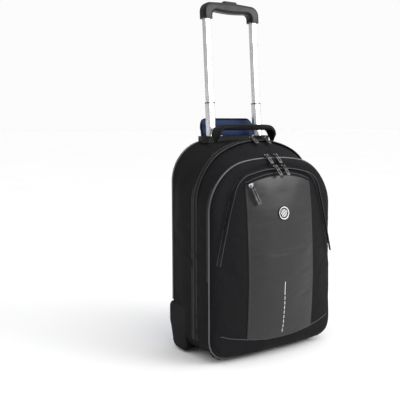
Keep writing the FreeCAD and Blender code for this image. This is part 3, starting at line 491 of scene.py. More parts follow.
# ---------------------------------------------------------------- piping of the case
# Round plastic cord in a folded nylon strip, sewn into the seams at the back edge and round the
# front flap. It catches the light as a thin line.
def cord_round(corners, y, radius, name, material, body, *replaced, keep):
    """Piping that follows an outline in the plane y, within a height range."""
    bm = bmesh.new()
    outline_loop(bm, corners, y)
    for limit, upward in ((keep[0], -1), (keep[1], 1)):
        bisect(bm, (0, 0, limit), (0, 0, upward), clear=True)
    path = mesh_object(name, bm)
    bpy.context.view_layer.objects.active = path
    path.select_set(True)
    bpy.ops.object.convert(target="CURVE")
    path = bpy.context.view_layer.objects.active
    path.data.bevel_depth = radius
    path.data.bevel_resolution = 3
    path.data.use_fill_caps = True
    bpy.ops.object.convert(target="MESH")
    path = bpy.context.view_layer.objects.active
    path.select_set(False)
    dress(path.data, material)
    all_smooth(path.data)
    finish_piece(path, body, *replaced, slot="piping")


def cord_through(name, points, radius, material, body):
    """Thin cord or raised seam through points."""
    curve = bpy.data.curves.new(name, "CURVE")
    curve.dimensions = "3D"
    curve.bevel_depth = radius
    curve.bevel_resolution = 2
    curve.use_fill_caps = True
    line = curve.splines.new("POLY")
    line.points.add(len(points) - 1)
    for point, place in zip(line.points, points):
        point.co = (*place, 1.0)
    made = linked(name, curve)
    curve.materials.append(material)
    finish_piece(made, body, slot="piping")


def plastic_material(name, dark, light, rough, grain=420.0, relief=0.12, coat=0.0, shine=0.25):
    """Moulded plastic: fine spark-eroded grain and slightly polished patches."""
    material, tree, shader, place = start_material(name, Coat_Weight=coat, Coat_Roughness=0.25,
                                                   Specular_IOR_Level=shine)
    patches = placed(tree, PATCHES, Vector=place, Scale=14.0)
    spark = add(tree, "ShaderNodeTexNoise", {"Vector": place, "Scale": grain, "Detail": 2.0})
    paint(tree, shader, patches.outputs["Mask"], dark, light)
    roughen(tree, shader, patches.outputs["Mask"], *rough)
    bump(tree, shader, spark.outputs[0], relief, 0.0004)
    return material


PIPING = plastic_material("piping_vinyl", (0.075, 0.075, 0.080), (0.105, 0.105, 0.110), (0.28, 0.42),
                          shine=0.4)
EDGE_CORD = plastic_material("edge_cord", (0.024, 0.024, 0.026), (0.040, 0.040, 0.043), (0.35, 0.5),
                             shine=0.3)
cord_round(arch_corners(BACK_ARCH, 0.0006), BACK_Y + 0.0005, 0.0019, "back_piping", PIPING, "case",
           keep=(0.112, FAR))


# ---------------------------------------------------------------- back of the case
# Flat back panel of black spacer mesh, with a padded crescent yoke at the top and three blue padded
# channels between sewn valleys. All of it is foam under cloth, bound at the edges.
def mesh_cloth_material(name, dark, light, cell):
    """Open spacer mesh: small holes in a knitted face."""
    material, tree, shader, place = start_material(name, Sheen_Weight=0.2)
    holes = add(tree, "ShaderNodeTexVoronoi", {"Vector": place, "Scale": cell}, feature="F1")
    open_ = add(tree, "ShaderNodeMapRange", {"Value": holes.outputs["Distance"], "From Min": 0.18,
                                             "From Max": 0.42})
    patches = placed(tree, PATCHES, Vector=place, Scale=9.0)
    tone = math_node(tree, "MULTIPLY", open_.outputs[0], math_node(tree, "ADD", patches.outputs["Mask"], 0.6))
    paint(tree, shader, tone, dark, light)
    roughen(tree, shader, tone, 0.9, 0.65)
    bump(tree, shader, open_.outputs[0], 0.5, 0.0008)
    return material


BLUE_CLOTH = cloth_material("back_blue", (0.018, 0.085, 0.42), (0.040, 0.155, 0.66), threads=2000.0,
                            sheen=0.35)
COVER_BLUE = cloth_material("rain_cover_blue", (0.045, 0.150, 0.58), (0.085, 0.235, 0.80), threads=2600.0,
                            rough=(0.42, 0.6), sheen=0.2)
BLACK_MESH = mesh_cloth_material("black_mesh", (0.004, 0.004, 0.005), (0.020, 0.020, 0.022), 420.0)


def closed_from_cad(names, voxel, reshape=None):
    """Closed copy of CAD nodes, remeshed evenly; reshape moves each point first."""
    bm = bmesh.new()
    for name in names:
        bm.from_mesh(nodes[name].data)
    bmesh.ops.remove_doubles(bm, verts=bm.verts, dist=1e-5)
    if reshape:
        cut_long(bm, 0.02)
        for v in bm.verts:
            v.co = reshape(v.co)
    made = mesh_object(names[0] + "_soft", bm)
    remesh(made, voxel)
    return made


def remesh(made, voxel):
    made.data.remesh_voxel_size = voxel
    made.data.remesh_voxel_adaptivity = 0.0
    bpy.context.view_layer.objects.active = made
    made.select_set(True)
    bpy.ops.object.voxel_remesh()
    made.select_set(False)


def relax(made, rounds):
    """Smooths the steps that a remesh leaves."""
    bm = bmesh.new()
    bm.from_mesh(made.data)
    for _ in range(rounds):
        bmesh.ops.smooth_vert(bm, verts=bm.verts, factor=0.5, use_axis_x=True, use_axis_y=True,
                              use_axis_z=True)
    bm.to_mesh(made.data)
    bm.free()


def soft_pad(names, label, material, body, held, slot, *, voxel, pressure, cap, reshape=None):
    """Padded piece: closed copy of its CAD solid, blown up as cloth and smoothed once."""
    made = closed_from_cad(names, voxel, reshape)
    made.name = label
    relax(made, 2)
    inflate(made, held, pressure, cap)
    smoothed(made)
    dress(made.data, material)
    all_smooth(made.data)
    finish_piece(made, body, *names, slot=slot)
    return made


PAD_BACK_Y = BACK_Y + 0.003


def pad_seam(co):
    return co.y < PAD_BACK_Y + 0.0035


PAD_PITCH, PAD_HALF = 0.098, 0.046


def crowned(co):
    """Rounds each padded channel across its width, so that deep valleys lie between them."""
    middle = round(co.x / PAD_PITCH) * PAD_PITCH
    share = min(abs(co.x - middle) / PAD_HALF, 1.0)
    depth = (co.y - PAD_BACK_Y) * (0.40 + 0.78 * math.sqrt(1 - share * share))
    return Vector((co.x, PAD_BACK_Y + max(depth, 0.0), co.z))


soft_pad(["back_pads"], "back_channels", BLUE_CLOTH, "case", pad_seam, "back_fabric",
         voxel=0.0040, pressure=4.0, cap=0.003, reshape=crowned)
soft_pad(["back_yoke"], "back_crescent", BLACK_MESH, "case", pad_seam, "shell_fabric",
         voxel=0.0045, pressure=3.0, cap=0.004)
soft_pad(["wheel_cover_pocket", "wheel_cover"], "cover_pouch", COVER_BLUE, "case", pad_seam, "back_fabric",
         voxel=0.0035, pressure=2.0, cap=0.003)

# Piped lower edge of the crescent.
YOKE_FACE_Y, YOKE_ARC_R, YOKE_ARC_Z, YOKE_HALF = 0.0945, 0.330, 0.092, 0.146
yoke_arc = [(x, YOKE_FACE_Y, YOKE_ARC_Z + math.sqrt(YOKE_ARC_R ** 2 - x * x) + 0.0008)
            for x in (YOKE_HALF * (i / 20 - 1) for i in range(41))]
cord_through("crescent_edge", yoke_arc, 0.0014, EDGE_CORD, "case")

# Back panel under the pads.
flat_sheet("back_panel", arch_corners(BACK_ARCH, -0.0008), BACK_Y + 0.0012, BLACK_MESH, "case")


# ---------------------------------------------------------------- shoulder straps
# Contoured padded straps of dark brown-grey nylon with bound edges. They come out from under the
# yoke, and end in a ladder-lock buckle with flat webbing to the lower corner of the back.
STRAP_CLOTH = cloth_material("strap_nylon", (0.010, 0.0095, 0.009), (0.026, 0.024, 0.022), threads=2200.0)
WEBBING = cloth_material("webbing", (0.008, 0.008, 0.008), (0.022, 0.022, 0.023), threads=1400.0, relief=0.7)
STRAP_BACK_Y, STRAP_FACE_Y = 0.094, 0.105
ROOT_FROM_Z, ROOT_TOP_Z, STRAP_TOP_Z = 0.345, 0.424, 0.3965
ROOT_BACK_Y, ROOT_THICKNESS = 0.0862, 0.005


def strap_seam(co):
    return co.y < STRAP_BACK_Y + 0.002 or co.z > STRAP_TOP_Z - 0.004


def rooted(co):
    """Carries the top of a strap on upwards and thins it, so that it goes in under the yoke."""
    t = min(max((co.z - ROOT_FROM_Z) / (STRAP_TOP_Z - ROOT_FROM_Z), 0.0), 1.0)
    ease = t * t * (3 - 2 * t)
    depth = (co.y - STRAP_BACK_Y) / (STRAP_FACE_Y - STRAP_BACK_Y)
    z = co.z if t <= 0 else ROOT_FROM_Z + t * (ROOT_TOP_Z - ROOT_FROM_Z)
    under_yoke = ROOT_BACK_Y + depth * ROOT_THICKNESS
    return Vector((co.x, co.y + (under_yoke - co.y) * ease, z))


straps = soft_pad(["shoulder_straps"], "straps", STRAP_CLOTH, "case", strap_seam, "strap_fabric",
                  voxel=0.004, pressure=4.0, cap=0.004, reshape=rooted)
# Centre line of the right-hand strap as (x, z, half width) from its root to its end.
STRAP_LINE = [(0.062, 0.396, 0.033), (0.074, 0.330, 0.033), (0.086, 0.250, 0.033), (0.084, 0.170, 0.031),
              (0.074, 0.118, 0.024)]
SEAM_INSET, LINE_STEPS = 0.0065, 6


def strap_edge(side, edge):
    """Smooth line down a strap, inside one of its edges, on its face."""
    points = []
    for (x0, z0, w0), (x1, z1, w1) in zip(STRAP_LINE, STRAP_LINE[1:]):
        for i in range(LINE_STEPS):
            t = i / LINE_STEPS
            x = x0 + (x1 - x0) * t + edge * (w0 + (w1 - w0) * t - SEAM_INSET)
            z = z0 + (z1 - z0) * t
            points.append(straps.closest_point_on_mesh((side * x, STRAP_FACE_Y + 0.004, z))[1])
    return points


for label, side in (("left", -1), ("right", 1)):
    for place, edge in (("inner", -1), ("outer", 1)):
        stitches(f"strap_stitches_{label}_{place}", strap_edge(side, edge), (0, 1, 0), THREAD, "case")

# Buckles and webbing.
BLACK_PLASTIC = plastic_material("black_moulding", (0.004, 0.004, 0.0045), (0.009, 0.009, 0.010), (0.34, 0.5))


def finish_nodes(material, *names):
    """Gives CAD nodes their material."""
    for name in names:
        dress(nodes[name].data, material)


finish_nodes(WEBBING, "strap_webbing", "carry_anchors")
finish_nodes(BLACK_PLASTIC, "strap_buckles")


# ---------------------------------------------------------------- inside of the laptop compartment
# Stiff board in front of the trolley tubes, with a padded sleeve on it. Both are covered in lining.
BOARD = plastic_material("board", (0.05, 0.05, 0.052), (0.075, 0.075, 0.08), (0.5, 0.65))
finish_nodes(BOARD, "inner_board")
finish_nodes(LINING_CLOTH, "laptop_sleeve")


# ---------------------------------------------------------------- trolley
# Drawn aluminium tubes, satin anodised, with the die lines running along them. The grip, bezel,
# collars and bracket are black nylon mouldings; pins, rods and spring are steel.
def tube_material():
    """Anodised aluminium with fine lines along its length."""
    material, tree, shader, place = start_material("tube_aluminium", Metallic=1.0)
    stretched = add(tree, "ShaderNodeMapping", {"Vector": place, "Scale": (900.0, 900.0, 14.0)})
    lines = add(tree, "ShaderNodeTexNoise", {"Vector": stretched.outputs[0], "Scale": 1.0, "Detail": 3.0})
    patches = placed(tree, PATCHES, Vector=place, Scale=16.0)
    marks = math_node(tree, "ADD", patches.outputs["Mask"], 0.7)
    tone = math_node(tree, "MULTIPLY", lines.outputs[0], marks)
    paint(tree, shader, tone, (0.62, 0.62, 0.64), (0.88, 0.88, 0.90))
    roughen(tree, shader, lines.outputs[0], 0.22, 0.42)
    bump(tree, shader, lines.outputs[0], 0.06, 0.0003)
    return material


def steel_material(name, dark, light, rough):
    material, tree, shader, place = start_material(name, Metallic=1.0)
    patches = placed(tree, PATCHES, Vector=place, Scale=60.0)
    fine = add(tree, "ShaderNodeTexNoise", {"Vector": place, "Scale": 700.0, "Detail": 2.0})
    paint(tree, shader, patches.outputs["Mask"], dark, light)
    roughen(tree, shader, patches.outputs["Mask"], *rough)
    bump(tree, shader, fine.outputs[0], 0.08, 0.0003)
    return material


TUBE = tube_material()
STEEL = steel_material("steel", (0.42, 0.42, 0.43), (0.62, 0.62, 0.64), (0.25, 0.4))
finish_nodes(TUBE, "outer_tubes", "middle_tubes", "upper_tubes", "push_rods")
finish_nodes(STEEL, "lock_pin_left", "lock_pin_right", "foot_screws", "axles", "wheel_bearings")
finish_nodes(BLACK_PLASTIC, "grip_body", "grip_cap", "release_button", "middle_collars", "guide_plugs",
             "handle_bezel", "tube_bracket")

# Return spring: a coil of steel wire between the grip's floor and the yoke under the button. On the real
# handle it gets shorter as the button goes down; here the coil keeps one length.
TUBE_LEAN = math.radians(4.0)
TUBE_AXIS = Vector((0.0, math.sin(TUBE_LEAN), math.cos(TUBE_LEAN)))
SPRING_FOOT = Vector((0.0, 0.0736, 0.480)) + TUBE_AXIS * 0.2870
SPRING_HEIGHT, SPRING_R, SPRING_WIRE, SPRING_TURNS, SPRING_STEPS = 0.0104, 0.0036, 0.0005, 5, 20


def wire_coil():
    """Mesh of the coil, one loop of eight points after another."""
    bm = bmesh.new()
    across = TUBE_AXIS.cross(Vector((1.0, 0.0, 0.0)))
    count = SPRING_TURNS * SPRING_STEPS
    loops = []
    for step in range(count + 1):
        angle = 2 * math.pi * step / SPRING_STEPS
        out = Vector((math.cos(angle), 0.0, 0.0)) + across * math.sin(angle)
        rise = SPRING_WIRE + (SPRING_HEIGHT - 2 * SPRING_WIRE) * step / count
        middle = SPRING_FOOT + TUBE_AXIS * rise + out * SPRING_R
        loops.append([bm.verts.new(middle + (out * math.cos(turn) + TUBE_AXIS * math.sin(turn)) * SPRING_WIRE)
                      for turn in (math.pi * corner / 4 for corner in range(8))])
    for lower, upper in zip(loops, loops[1:]):
        for corner in range(8):
            after = (corner + 1) % 8
            bm.faces.new((lower[corner], lower[after], upper[after], upper[corner]))
    bm.faces.new(loops[0])
    bm.faces.new(loops[-1])
    bmesh.ops.recalc_face_normals(bm, faces=bm.faces)
    return bm


return_spring = piece(wire_coil(), "return_spring", STEEL, "upper_stage", "button_spring")
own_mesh(return_spring)


# ---------------------------------------------------------------- wheels
# Rubber tyres on moulded hubs, in housings that wrap the lower rear corners.
RUBBER = plastic_material("tyre_rubber", (0.010, 0.010, 0.010), (0.022, 0.021, 0.020), (0.6, 0.8),
                          relief=0.3)
HUB = plastic_material("hub_plastic", (0.030, 0.030, 0.032), (0.05, 0.05, 0.053), (0.35, 0.5))
finish_nodes(RUBBER, "tyre_left", "tyre_right")
finish_nodes(HUB, "wheel_hub_left", "wheel_hub_right")
HOUSING = plastic_material("housing_plastic", (0.0035, 0.0035, 0.004), (0.0075, 0.0075, 0.008), (0.5, 0.68),
                           grain=300.0, relief=0.25, shine=0.10)
finish_nodes(HOUSING, "wheel_housings", "front_feet")


# ---------------------------------------------------------------- carry handle and handle-well cover
# The carry handle is ribbed webbing round a foam core. The cover is nylon with a blue lining,
# unzipped and standing open behind the tubes.
def handle_seam(co):
    return co.z < 0.474


def ribbed_material():
    """Heavy webbing: ribs that run along the handle, over a fine weave."""
    material, tree, shader, place = start_material("ribbed_webbing", Specular_IOR_Level=0.15)
    depth = add(tree, "ShaderNodeSeparateXYZ", {0: place}).outputs[1]
    ribs = math_node(tree, "SINE", math_node(tree, "MULTIPLY", depth, 2 * math.pi / 0.0030))
    ribs = add(tree, "ShaderNodeMapRange", {"Value": ribs, "From Min": -1.0}).outputs[0]
    weave = placed(tree, WEAVE, Vector=place, Threads=1800.0)
    tone = math_node(tree, "MULTIPLY", ribs, weave.outputs["Tone"])
    paint(tree, shader, tone, (0.003, 0.003, 0.0035), (0.018, 0.018, 0.019))
    roughen(tree, shader, ribs, 0.85, 0.6)
    relief = math_node(tree, "ADD", ribs, math_node(tree, "MULTIPLY", weave.outputs["Height"], 0.25))
    bump(tree, shader, relief, 0.7, 0.0008)
    return material


soft_pad(["carry_handle"], "carry_loop", ribbed_material(), "carry_handle", handle_seam, "strap_fabric",
         voxel=0.003, pressure=2.0, cap=0.0015)


COVER_FOOT_Z = 0.470


def cover_fold(co):
    """Soft folds across the cover, growing away from its hinge."""
    rise = min(max((co.z - COVER_FOOT_Z) / 0.04, 0.0), 1.0)
    wave = math.sin((co.z - COVER_FOOT_Z) * 300.0 + co.x * 6.0) + 0.5 * noise.noise(co * 30)
    return Vector((co.x, co.y + 0.0011 * rise * wave, co.z))


LINING_BLUE = cloth_material("cover_lining", (0.001, 0.009, 0.045), (0.004, 0.026, 0.115), threads=2300.0,
                             rough=(0.35, 0.5), sheen=0.3)
well_cover = closed_from_cad(["handle_cover"], 0.0022)
well_cover.name = "well_cover"
relax(well_cover, 2)
for v in well_cover.data.vertices:
    v.co = cover_fold(v.co)
soften(well_cover)
dress(well_cover.data, SHELL_CLOTH, LINING_BLUE)
cover_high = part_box("handle_cover")[1]
for polygon in well_cover.data.polygons:
    inner = abs(polygon.center.x) < cover_high.x - 0.004 and polygon.center.z < cover_high.z - 0.005
    polygon.material_index = 1 if inner and polygon.normal.y < -0.3 else 0
finish_piece(well_cover, "handle_cover", "handle_cover", slot="shell_fabric")

# Two rivets hold the bezel in front of the tubes.
RIVET_X, RIVET_Y, RIVET_Z, RIVET_R = 0.046, 0.0628, 0.4802, 0.0032
bm = bmesh.new()
for x in (-RIVET_X, RIVET_X):
    head = bmesh.ops.create_uvsphere(bm, u_segments=20, v_segments=10, radius=RIVET_R)
    for v in head["verts"]:
        v.co = (v.co.x + x, v.co.y + RIVET_Y, v.co.z * 0.5 + RIVET_Z)
RIVET = steel_material("rivet", (0.55, 0.55, 0.56), (0.80, 0.80, 0.82), (0.15, 0.25))
piece(bm, "bezel_rivets", RIVET, "case", slot="steel")


# ---------------------------------------------------------------- middle section
# Wall of the second compartment, between the main zip and the middle zip, in the same nylon.
MIDDLE_ZIP_Y = -0.0635


def middle_seam(co):
    return co.y > MAIN_ZIP_Y - 0.004 or co.y < MIDDLE_ZIP_Y + 0.004 or co.z < 0.012


middle_wall = nylon_wall("middle_wall", [(arch_corners(MAIN_ARCH), MAIN_ZIP_Y - PARTING),
                                         (arch_corners(MIDDLE_ARCH), MIDDLE_ZIP_Y)],
                         middle_seam, cap=0.005, size=0.045, amount=0.0010)
thicken(middle_wall, WALL)
finish_piece(middle_wall, "middle_section", "middle_section", slot="shell_fabric")

# Lining sheet that closes the middle section towards the laptop compartment.
flat_sheet("divider", arch_corners(MAIN_ARCH, -0.003), MAIN_ZIP_Y - 0.0022, LINING_CLOTH, "middle_section")


# ---------------------------------------------------------------- front of the case
# Padded front: a flap with a rounded rim, and on it the crowned pocket, which runs on below the fold
# to the floor corners. It is blown up as one piece and then cut at the fold and at the pocket zip.
POCKET_Y = -0.078
POCKET_ZIP_Y = -0.085
FOLD_Z = 0.175
# Rows of height, foremost y, and how far the sides lie behind it at CROWN_HALF
CROWN = [(-0.010, -0.072, 0.006), (0.025, -0.097, 0.016), (0.060, -0.1055, 0.026), (0.115, -0.111, 0.033),
         (0.170, -0.114, 0.037), (0.240, -0.1125, 0.038), (0.320, -0.107, 0.036), (0.380, -0.0975, 0.030),
         (0.430, -0.087, 0.024)]
CROWN_HALF = 0.175


def front_y(x, z):
    """Depth of the crowned front at a place."""
    for (z0, y0, f0), (z1, y1, f1) in zip(CROWN, CROWN[1:]):
        if z <= z1:
            t = min(max((z - z0) / (z1 - z0), 0.0), 1.0)
            return y0 + (y1 - y0) * t + (f0 + (f1 - f0) * t) * (x / CROWN_HALF) ** 2
    return CROWN[-1][1] + CROWN[-1][2] * (x / CROWN_HALF) ** 2


def pocket_corners(by=0.0):
    """Outline of the front pocket: full width below, drawn in to an arch above."""
    half = 0.164 + by
    return [(-half, 0.012 - by, 0.040, 6), (half, 0.012 - by, 0.040, 6), (half, 0.182, 0.060, 4),
            (0.131 + by, 0.318, 0.200, 4), (0.108 + by, 0.394 + by, 0.046, 8), (0.0, 0.419 + by, 0.260, 10),
            (-0.108 - by, 0.394 + by, 0.046, 8), (-0.131 - by, 0.318, 0.200, 4), (-half, 0.182, 0.060, 4)]


def verts_of(geometry):
    return [v for v in geometry if isinstance(v, bmesh.types.BMVert)]


# Slab with a rounded rim, from the middle zip forwards.
RIM_R = 0.009
bm = bmesh.new()
rim = outline_loop(bm, arch_corners(MIDDLE_ARCH), MIDDLE_ZIP_Y - PARTING)
face = bmesh.ops.edgeloop_fill(bm, edges=rim)["faces"]
slab = bmesh.ops.extrude_face_region(bm, geom=face)["geom"]
bmesh.ops.translate(bm, verts=verts_of(slab), vec=(0, POCKET_Y - MIDDLE_ZIP_Y, 0))
edges = [e for e in bm.edges if all(abs(v.co.y - POCKET_Y) < 4e-4 for v in e.verts)]
bmesh.ops.bevel(bm, geom=edges, offset=RIM_R, offset_type="OFFSET", affect="EDGES", segments=4, profile=0.5,
                material=-1)
bmesh.ops.recalc_face_normals(bm, faces=bm.faces)
rim_piece = piece(bm, "front_slab", SHELL_CLOTH, None)

# Pocket on the slab, in slices fine enough to follow the crown. It starts a little low, because it
# swells when it is blown up.
SLICES, ROOM_TO_SWELL = 33, 0.0018
bm = bmesh.new()
edge = outline_loop(bm, pocket_corners(), POCKET_Y + 0.004)
face = bmesh.ops.edgeloop_fill(bm, edges=edge)["faces"]
block = bmesh.ops.extrude_face_region(bm, geom=face)["geom"]
bmesh.ops.translate(bm, verts=verts_of(block), vec=(0, -0.03, 0))
for axis, low, high in ((0, -0.16, 0.16), (2, 0.016, 0.412)):
    slice_along(bm, axis, [low + (high - low) * i / (SLICES - 1) for i in range(SLICES)])
for v in bm.verts:
    if v.co.y < POCKET_Y:
        v.co.y = front_y(v.co.x, v.co.z) + ROOM_TO_SWELL
bmesh.ops.recalc_face_normals(bm, faces=bm.faces)

# Both become one body of even cloth.
bm.from_mesh(rim_piece.data)
bpy.data.objects.remove(rim_piece)
front_body = piece(bm, "front_body", SHELL_CLOTH, None)
remesh(front_body, 0.004)
relax(front_body, 3)


def bottom_seam_z(x):
    """Height of the seam across the bottom of the front."""
    return 0.040 + 0.022 * (x / 0.150) ** 2


def front_seams(co):
    edge_seam = co.y > MIDDLE_ZIP_Y - 0.006
    zip_seam = abs(co.y - POCKET_ZIP_Y) < 0.003 and co.z > 0.2
    low_seam = abs(co.z - bottom_seam_z(co.x)) < 0.003
    panel_seam = abs(abs(co.x) - 0.092) < 0.003 and co.z < 0.385
    return edge_seam or zip_seam or low_seam or panel_seam


inflate(front_body, front_seams, pressure=2.5, cap=0.0024, slack=0.004)
ruffle(front_body, front_seams, size=0.05, amount=0.0006)


def part_of(name, cuts, hollow, body, *replaced, recess=None):
    """Cuts a piece from the blown-up front: cuts are (point, outward normal), each filled over. The
    face of cut number hollow is opened, or sunk by a recess inside a narrow rim."""
    bm = bmesh.new()
    bm.from_mesh(front_body.data)
    for point, normal in cuts:
        edges = [e for e in bisect(bm, point, normal, clear=True) if isinstance(e, bmesh.types.BMEdge)]
        bmesh.ops.edgeloop_fill(bm, edges=edges)
    if hollow:
        point, normal = cuts[hollow - 1]
        doomed = [f for f in bm.faces
                  if abs((f.calc_center_median() - Vector(point)).dot(Vector(normal))) < 1e-5]
        if recess:
            bmesh.ops.inset_region(bm, faces=doomed, thickness=0.0025, depth=0.0)
            sunk = bmesh.ops.extrude_face_region(bm, geom=doomed)["geom"]
            bmesh.ops.translate(bm, verts=verts_of(sunk), vec=recess)
        bmesh.ops.delete(bm, geom=doomed, context="FACES")
    return piece(bm, name, SHELL_CLOTH, body, *replaced, slot="shell_fabric")


fold = (0, 0, FOLD_Z)
zip_plane = (0, POCKET_ZIP_Y, 0)
part_of("lower_front", [(fold, (0, 0, 1))], 0, "middle_section", "front_lower")
part_of("front_flap", [(fold, (0, 0, -1)), (zip_plane, (0, -1, 0))], 2, "front_flap", "front_panel",
        recess=(0, 0.0055, 0))
pocket_face = part_of("pocket_face", [(fold, (0, 0, -1)), (zip_plane, (0, 1, 0))], 2, "pocket_front",
                      "front_pocket")
thicken(pocket_face, 0.0022)


# ---------------------------------------------------------------- centre panel
# Smooth coated cloth down the middle of the front, stitched along its edges, with a soft sheen.
def coated_material():
    """Coated cloth: shallow pebble grain and a satin face."""
    material, tree, shader, place = start_material("coated_panel", Specular_IOR_Level=0.38)
    pebbles = add(tree, "ShaderNodeTexVoronoi", {"Vector": place, "Scale": 900.0}, feature="F1")
    patches = placed(tree, PATCHES, Vector=place, Scale=7.0)
    paint(tree, shader, patches.outputs["Mask"], (0.009, 0.009, 0.010), (0.013, 0.013, 0.014))
    roughen(tree, shader, patches.outputs["Mask"], 0.36, 0.46)
    bump(tree, shader, pebbles.outputs["Distance"], 0.15, 0.0004)
    return material


COATED = coated_material()
PANEL_HALF = 0.091


def panel_top(x):
    """Height of the panel's arched upper edge."""
    return 0.396 - 0.018 * (x / PANEL_HALF) ** 2


def centre_panel(name, low, high, body, *replaced):
    """Panel between two heights, laid on the front and given a thickness."""
    bm = bmesh.new()
    bmesh.ops.create_grid(bm, x_segments=44, y_segments=60, size=1.0)
    for v in bm.verts:
        u, w = v.co.x, (v.co.y + 1) / 2
        x = u * PANEL_HALF
        bottom = low(x)
        z = bottom + w * (high(x) - bottom)
        v.co = (x, front_y(x, z) - 0.006, z)
    bmesh.ops.recalc_face_normals(bm, faces=bm.faces)
    if sum(f.normal.y for f in bm.faces) > 0:
        bmesh.ops.reverse_faces(bm, faces=bm.faces)
    made = piece(bm, name, COATED, None)
    lift = 0.0011
    lay = made.modifiers.new("lay", "SHRINKWRAP")
    lay.target = front_body
    lay.wrap_method = "PROJECT"
    lay.use_project_y = True
    lay.use_negative_direction = True
    lay.use_positive_direction = True
    lay.offset = lift
    thicken(made, lift)
    finish_piece(made, body, *replaced, slot="panel_leatherette")


centre_panel("centre_panel_upper", lambda x: FOLD_Z, panel_top, "pocket_front", "centre_panel")
centre_panel("centre_panel_lower", lambda x: bottom_seam_z(x) + 0.001, lambda x: FOLD_Z, "middle_section")


# ---------------------------------------------------------------- seams, badge and print of the front
# Raised stitched seams across the bottom and over the panel's zip. The badge and the print are fixed
# on the panel, and rows of stitches run down its sides.
def seam_line(name, points, radius, material, body):
    """Raised seam through places (x, z) on the front, laid on its cloth."""
    laid = [front_body.closest_point_on_mesh((x, front_y(x, z) - 0.002, z))[1] for x, z in points]
    cord_through(name, [(p.x, p.y - 0.0004, p.z) for p in laid], radius, material, body)


SEAM_HALF, SEAM_STEPS = 0.152, 30
across = [(x, bottom_seam_z(x)) for x in
          (-SEAM_HALF + 2 * SEAM_HALF * i / SEAM_STEPS for i in range(SEAM_STEPS + 1))]
seam_line("bottom_seam", across, 0.0011, EDGE_CORD, "middle_section")

PANEL_ARCH = [(x, panel_top(x)) for x in (PANEL_HALF * (i / 12 - 1) for i in range(25))]
seam_line("panel_zip_lower_edge", [(x, z + 0.0008) for x, z in PANEL_ARCH], 0.0009, EDGE_CORD, "pocket_front")
seam_line("panel_zip_upper_edge", [(x, z + 0.0078) for x, z in PANEL_ARCH], 0.0009, EDGE_CORD, "pocket_front")


# Badge: a plain round plate with a raised rim, clipped through the panel. It has a bright ring with
# slanted bright hatching inside, all on dark enamel.
def badge_material():
    """Dark enamel with bright metal where the distance from the badge's centre says so."""
    material, tree, shader, place = start_material("badge_enamel", Specular_IOR_Level=0.5)
    low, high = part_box("badge")
    centre = [(a + b) / 2 for a, b in zip(low, high)]
    local = add(tree, "ShaderNodeVectorMath", {0: place, 1: centre}, operation="SUBTRACT")
    flat = add(tree, "ShaderNodeVectorMath", {0: local.outputs[0], 1: (1, 0, 1)}, operation="MULTIPLY")
    radius = add(tree, "ShaderNodeVectorMath", {0: flat.outputs[0]}, operation="LENGTH").outputs["Value"]
    ring = math_node(tree, "COMPARE", radius, 0.0128)
    ring.node.inputs[2].default_value = 0.0010
    slant = add(tree, "ShaderNodeVectorMath", {0: flat.outputs[0], 1: (1.0, 0.0, 0.55)},
                operation="DOT_PRODUCT").outputs["Value"]
    hatch = math_node(tree, "SINE", math_node(tree, "MULTIPLY", slant, 2 * math.pi / 0.0042))
    hatch = math_node(tree, "GREATER_THAN", hatch, 0.1)
    field = math_node(tree, "MULTIPLY", hatch, math_node(tree, "LESS_THAN", radius, 0.0088))
    bright = math_node(tree, "MAXIMUM", ring, field)
    patches = placed(tree, PATCHES, Vector=place, Scale=200.0)
    enamel = mix_colour(tree, patches.outputs["Mask"], (0.010, 0.009, 0.010), (0.020, 0.016, 0.017))
    metal = mix_colour(tree, patches.outputs["Mask"], (0.72, 0.72, 0.74), (0.85, 0.85, 0.87))
    paint(tree, shader, bright, enamel, metal)
    roughen(tree, shader, bright, 0.22, 0.34)
    bump(tree, shader, bright, 0.3, 0.0004)
    return material


finish_nodes(badge_material(), "badge")

# Pale rubber print down the lower middle of the panel: one long bar, then short dashes.
DASH_HALF, DASH_SUNK, DASH_PROUD = 0.0009, -0.0002, 0.0003
PRINT_TOP, LONG_BAR_END, PRINT_END, DASH, DASH_GAP, DASH_ROWS = 0.166, 0.136, 0.052, 0.0075, 0.0030, 6
bm = bmesh.new()
spans = [(LONG_BAR_END, PRINT_TOP)]
level = LONG_BAR_END - DASH_GAP
while level - DASH > PRINT_END:
    spans.append((level - DASH, level))
    level -= DASH + DASH_GAP
panel_below = bpy.data.objects["centre_panel_lower"]
for bottom, top in spans:
    rows = []
    for i in range(DASH_ROWS):
        z = bottom + (top - bottom) * i / (DASH_ROWS - 1)
        y = panel_below.closest_point_on_mesh((0.0, front_y(0.0, z) - 0.002, z))[1].y
        rows.append([bm.verts.new((DASH_HALF * share, y - lift, z)) for share, lift in
                     ((-1, DASH_SUNK), (-0.7, DASH_PROUD), (0.7, DASH_PROUD), (1, DASH_SUNK))])
    for first, second in zip(rows, rows[1:]):
        for i in range(3):
            bm.faces.new((first[i], first[i + 1], second[i + 1], second[i]))
    bm.faces.new(rows[0])
    bm.faces.new(rows[-1][::-1])
bmesh.ops.holes_fill(bm, edges=bm.edges, sides=0)
bmesh.ops.recalc_face_normals(bm, faces=bm.faces)
PRINT = plastic_material("print_rubber", (0.62, 0.62, 0.63), (0.78, 0.78, 0.79), (0.45, 0.6))
piece(bm, "centre_print", PRINT, "middle_section", slot="badge", smooth=False)


def along_panel(x, low, high, target):
    """Points up the front at a place x, on the face of a piece."""
    steps = int((high - low) / 0.012)
    heights = [low + (high - low) * i / steps for i in range(steps + 1)]
    return [target.closest_point_on_mesh((x, front_y(x, z) - 0.003, z))[1] for z in heights]


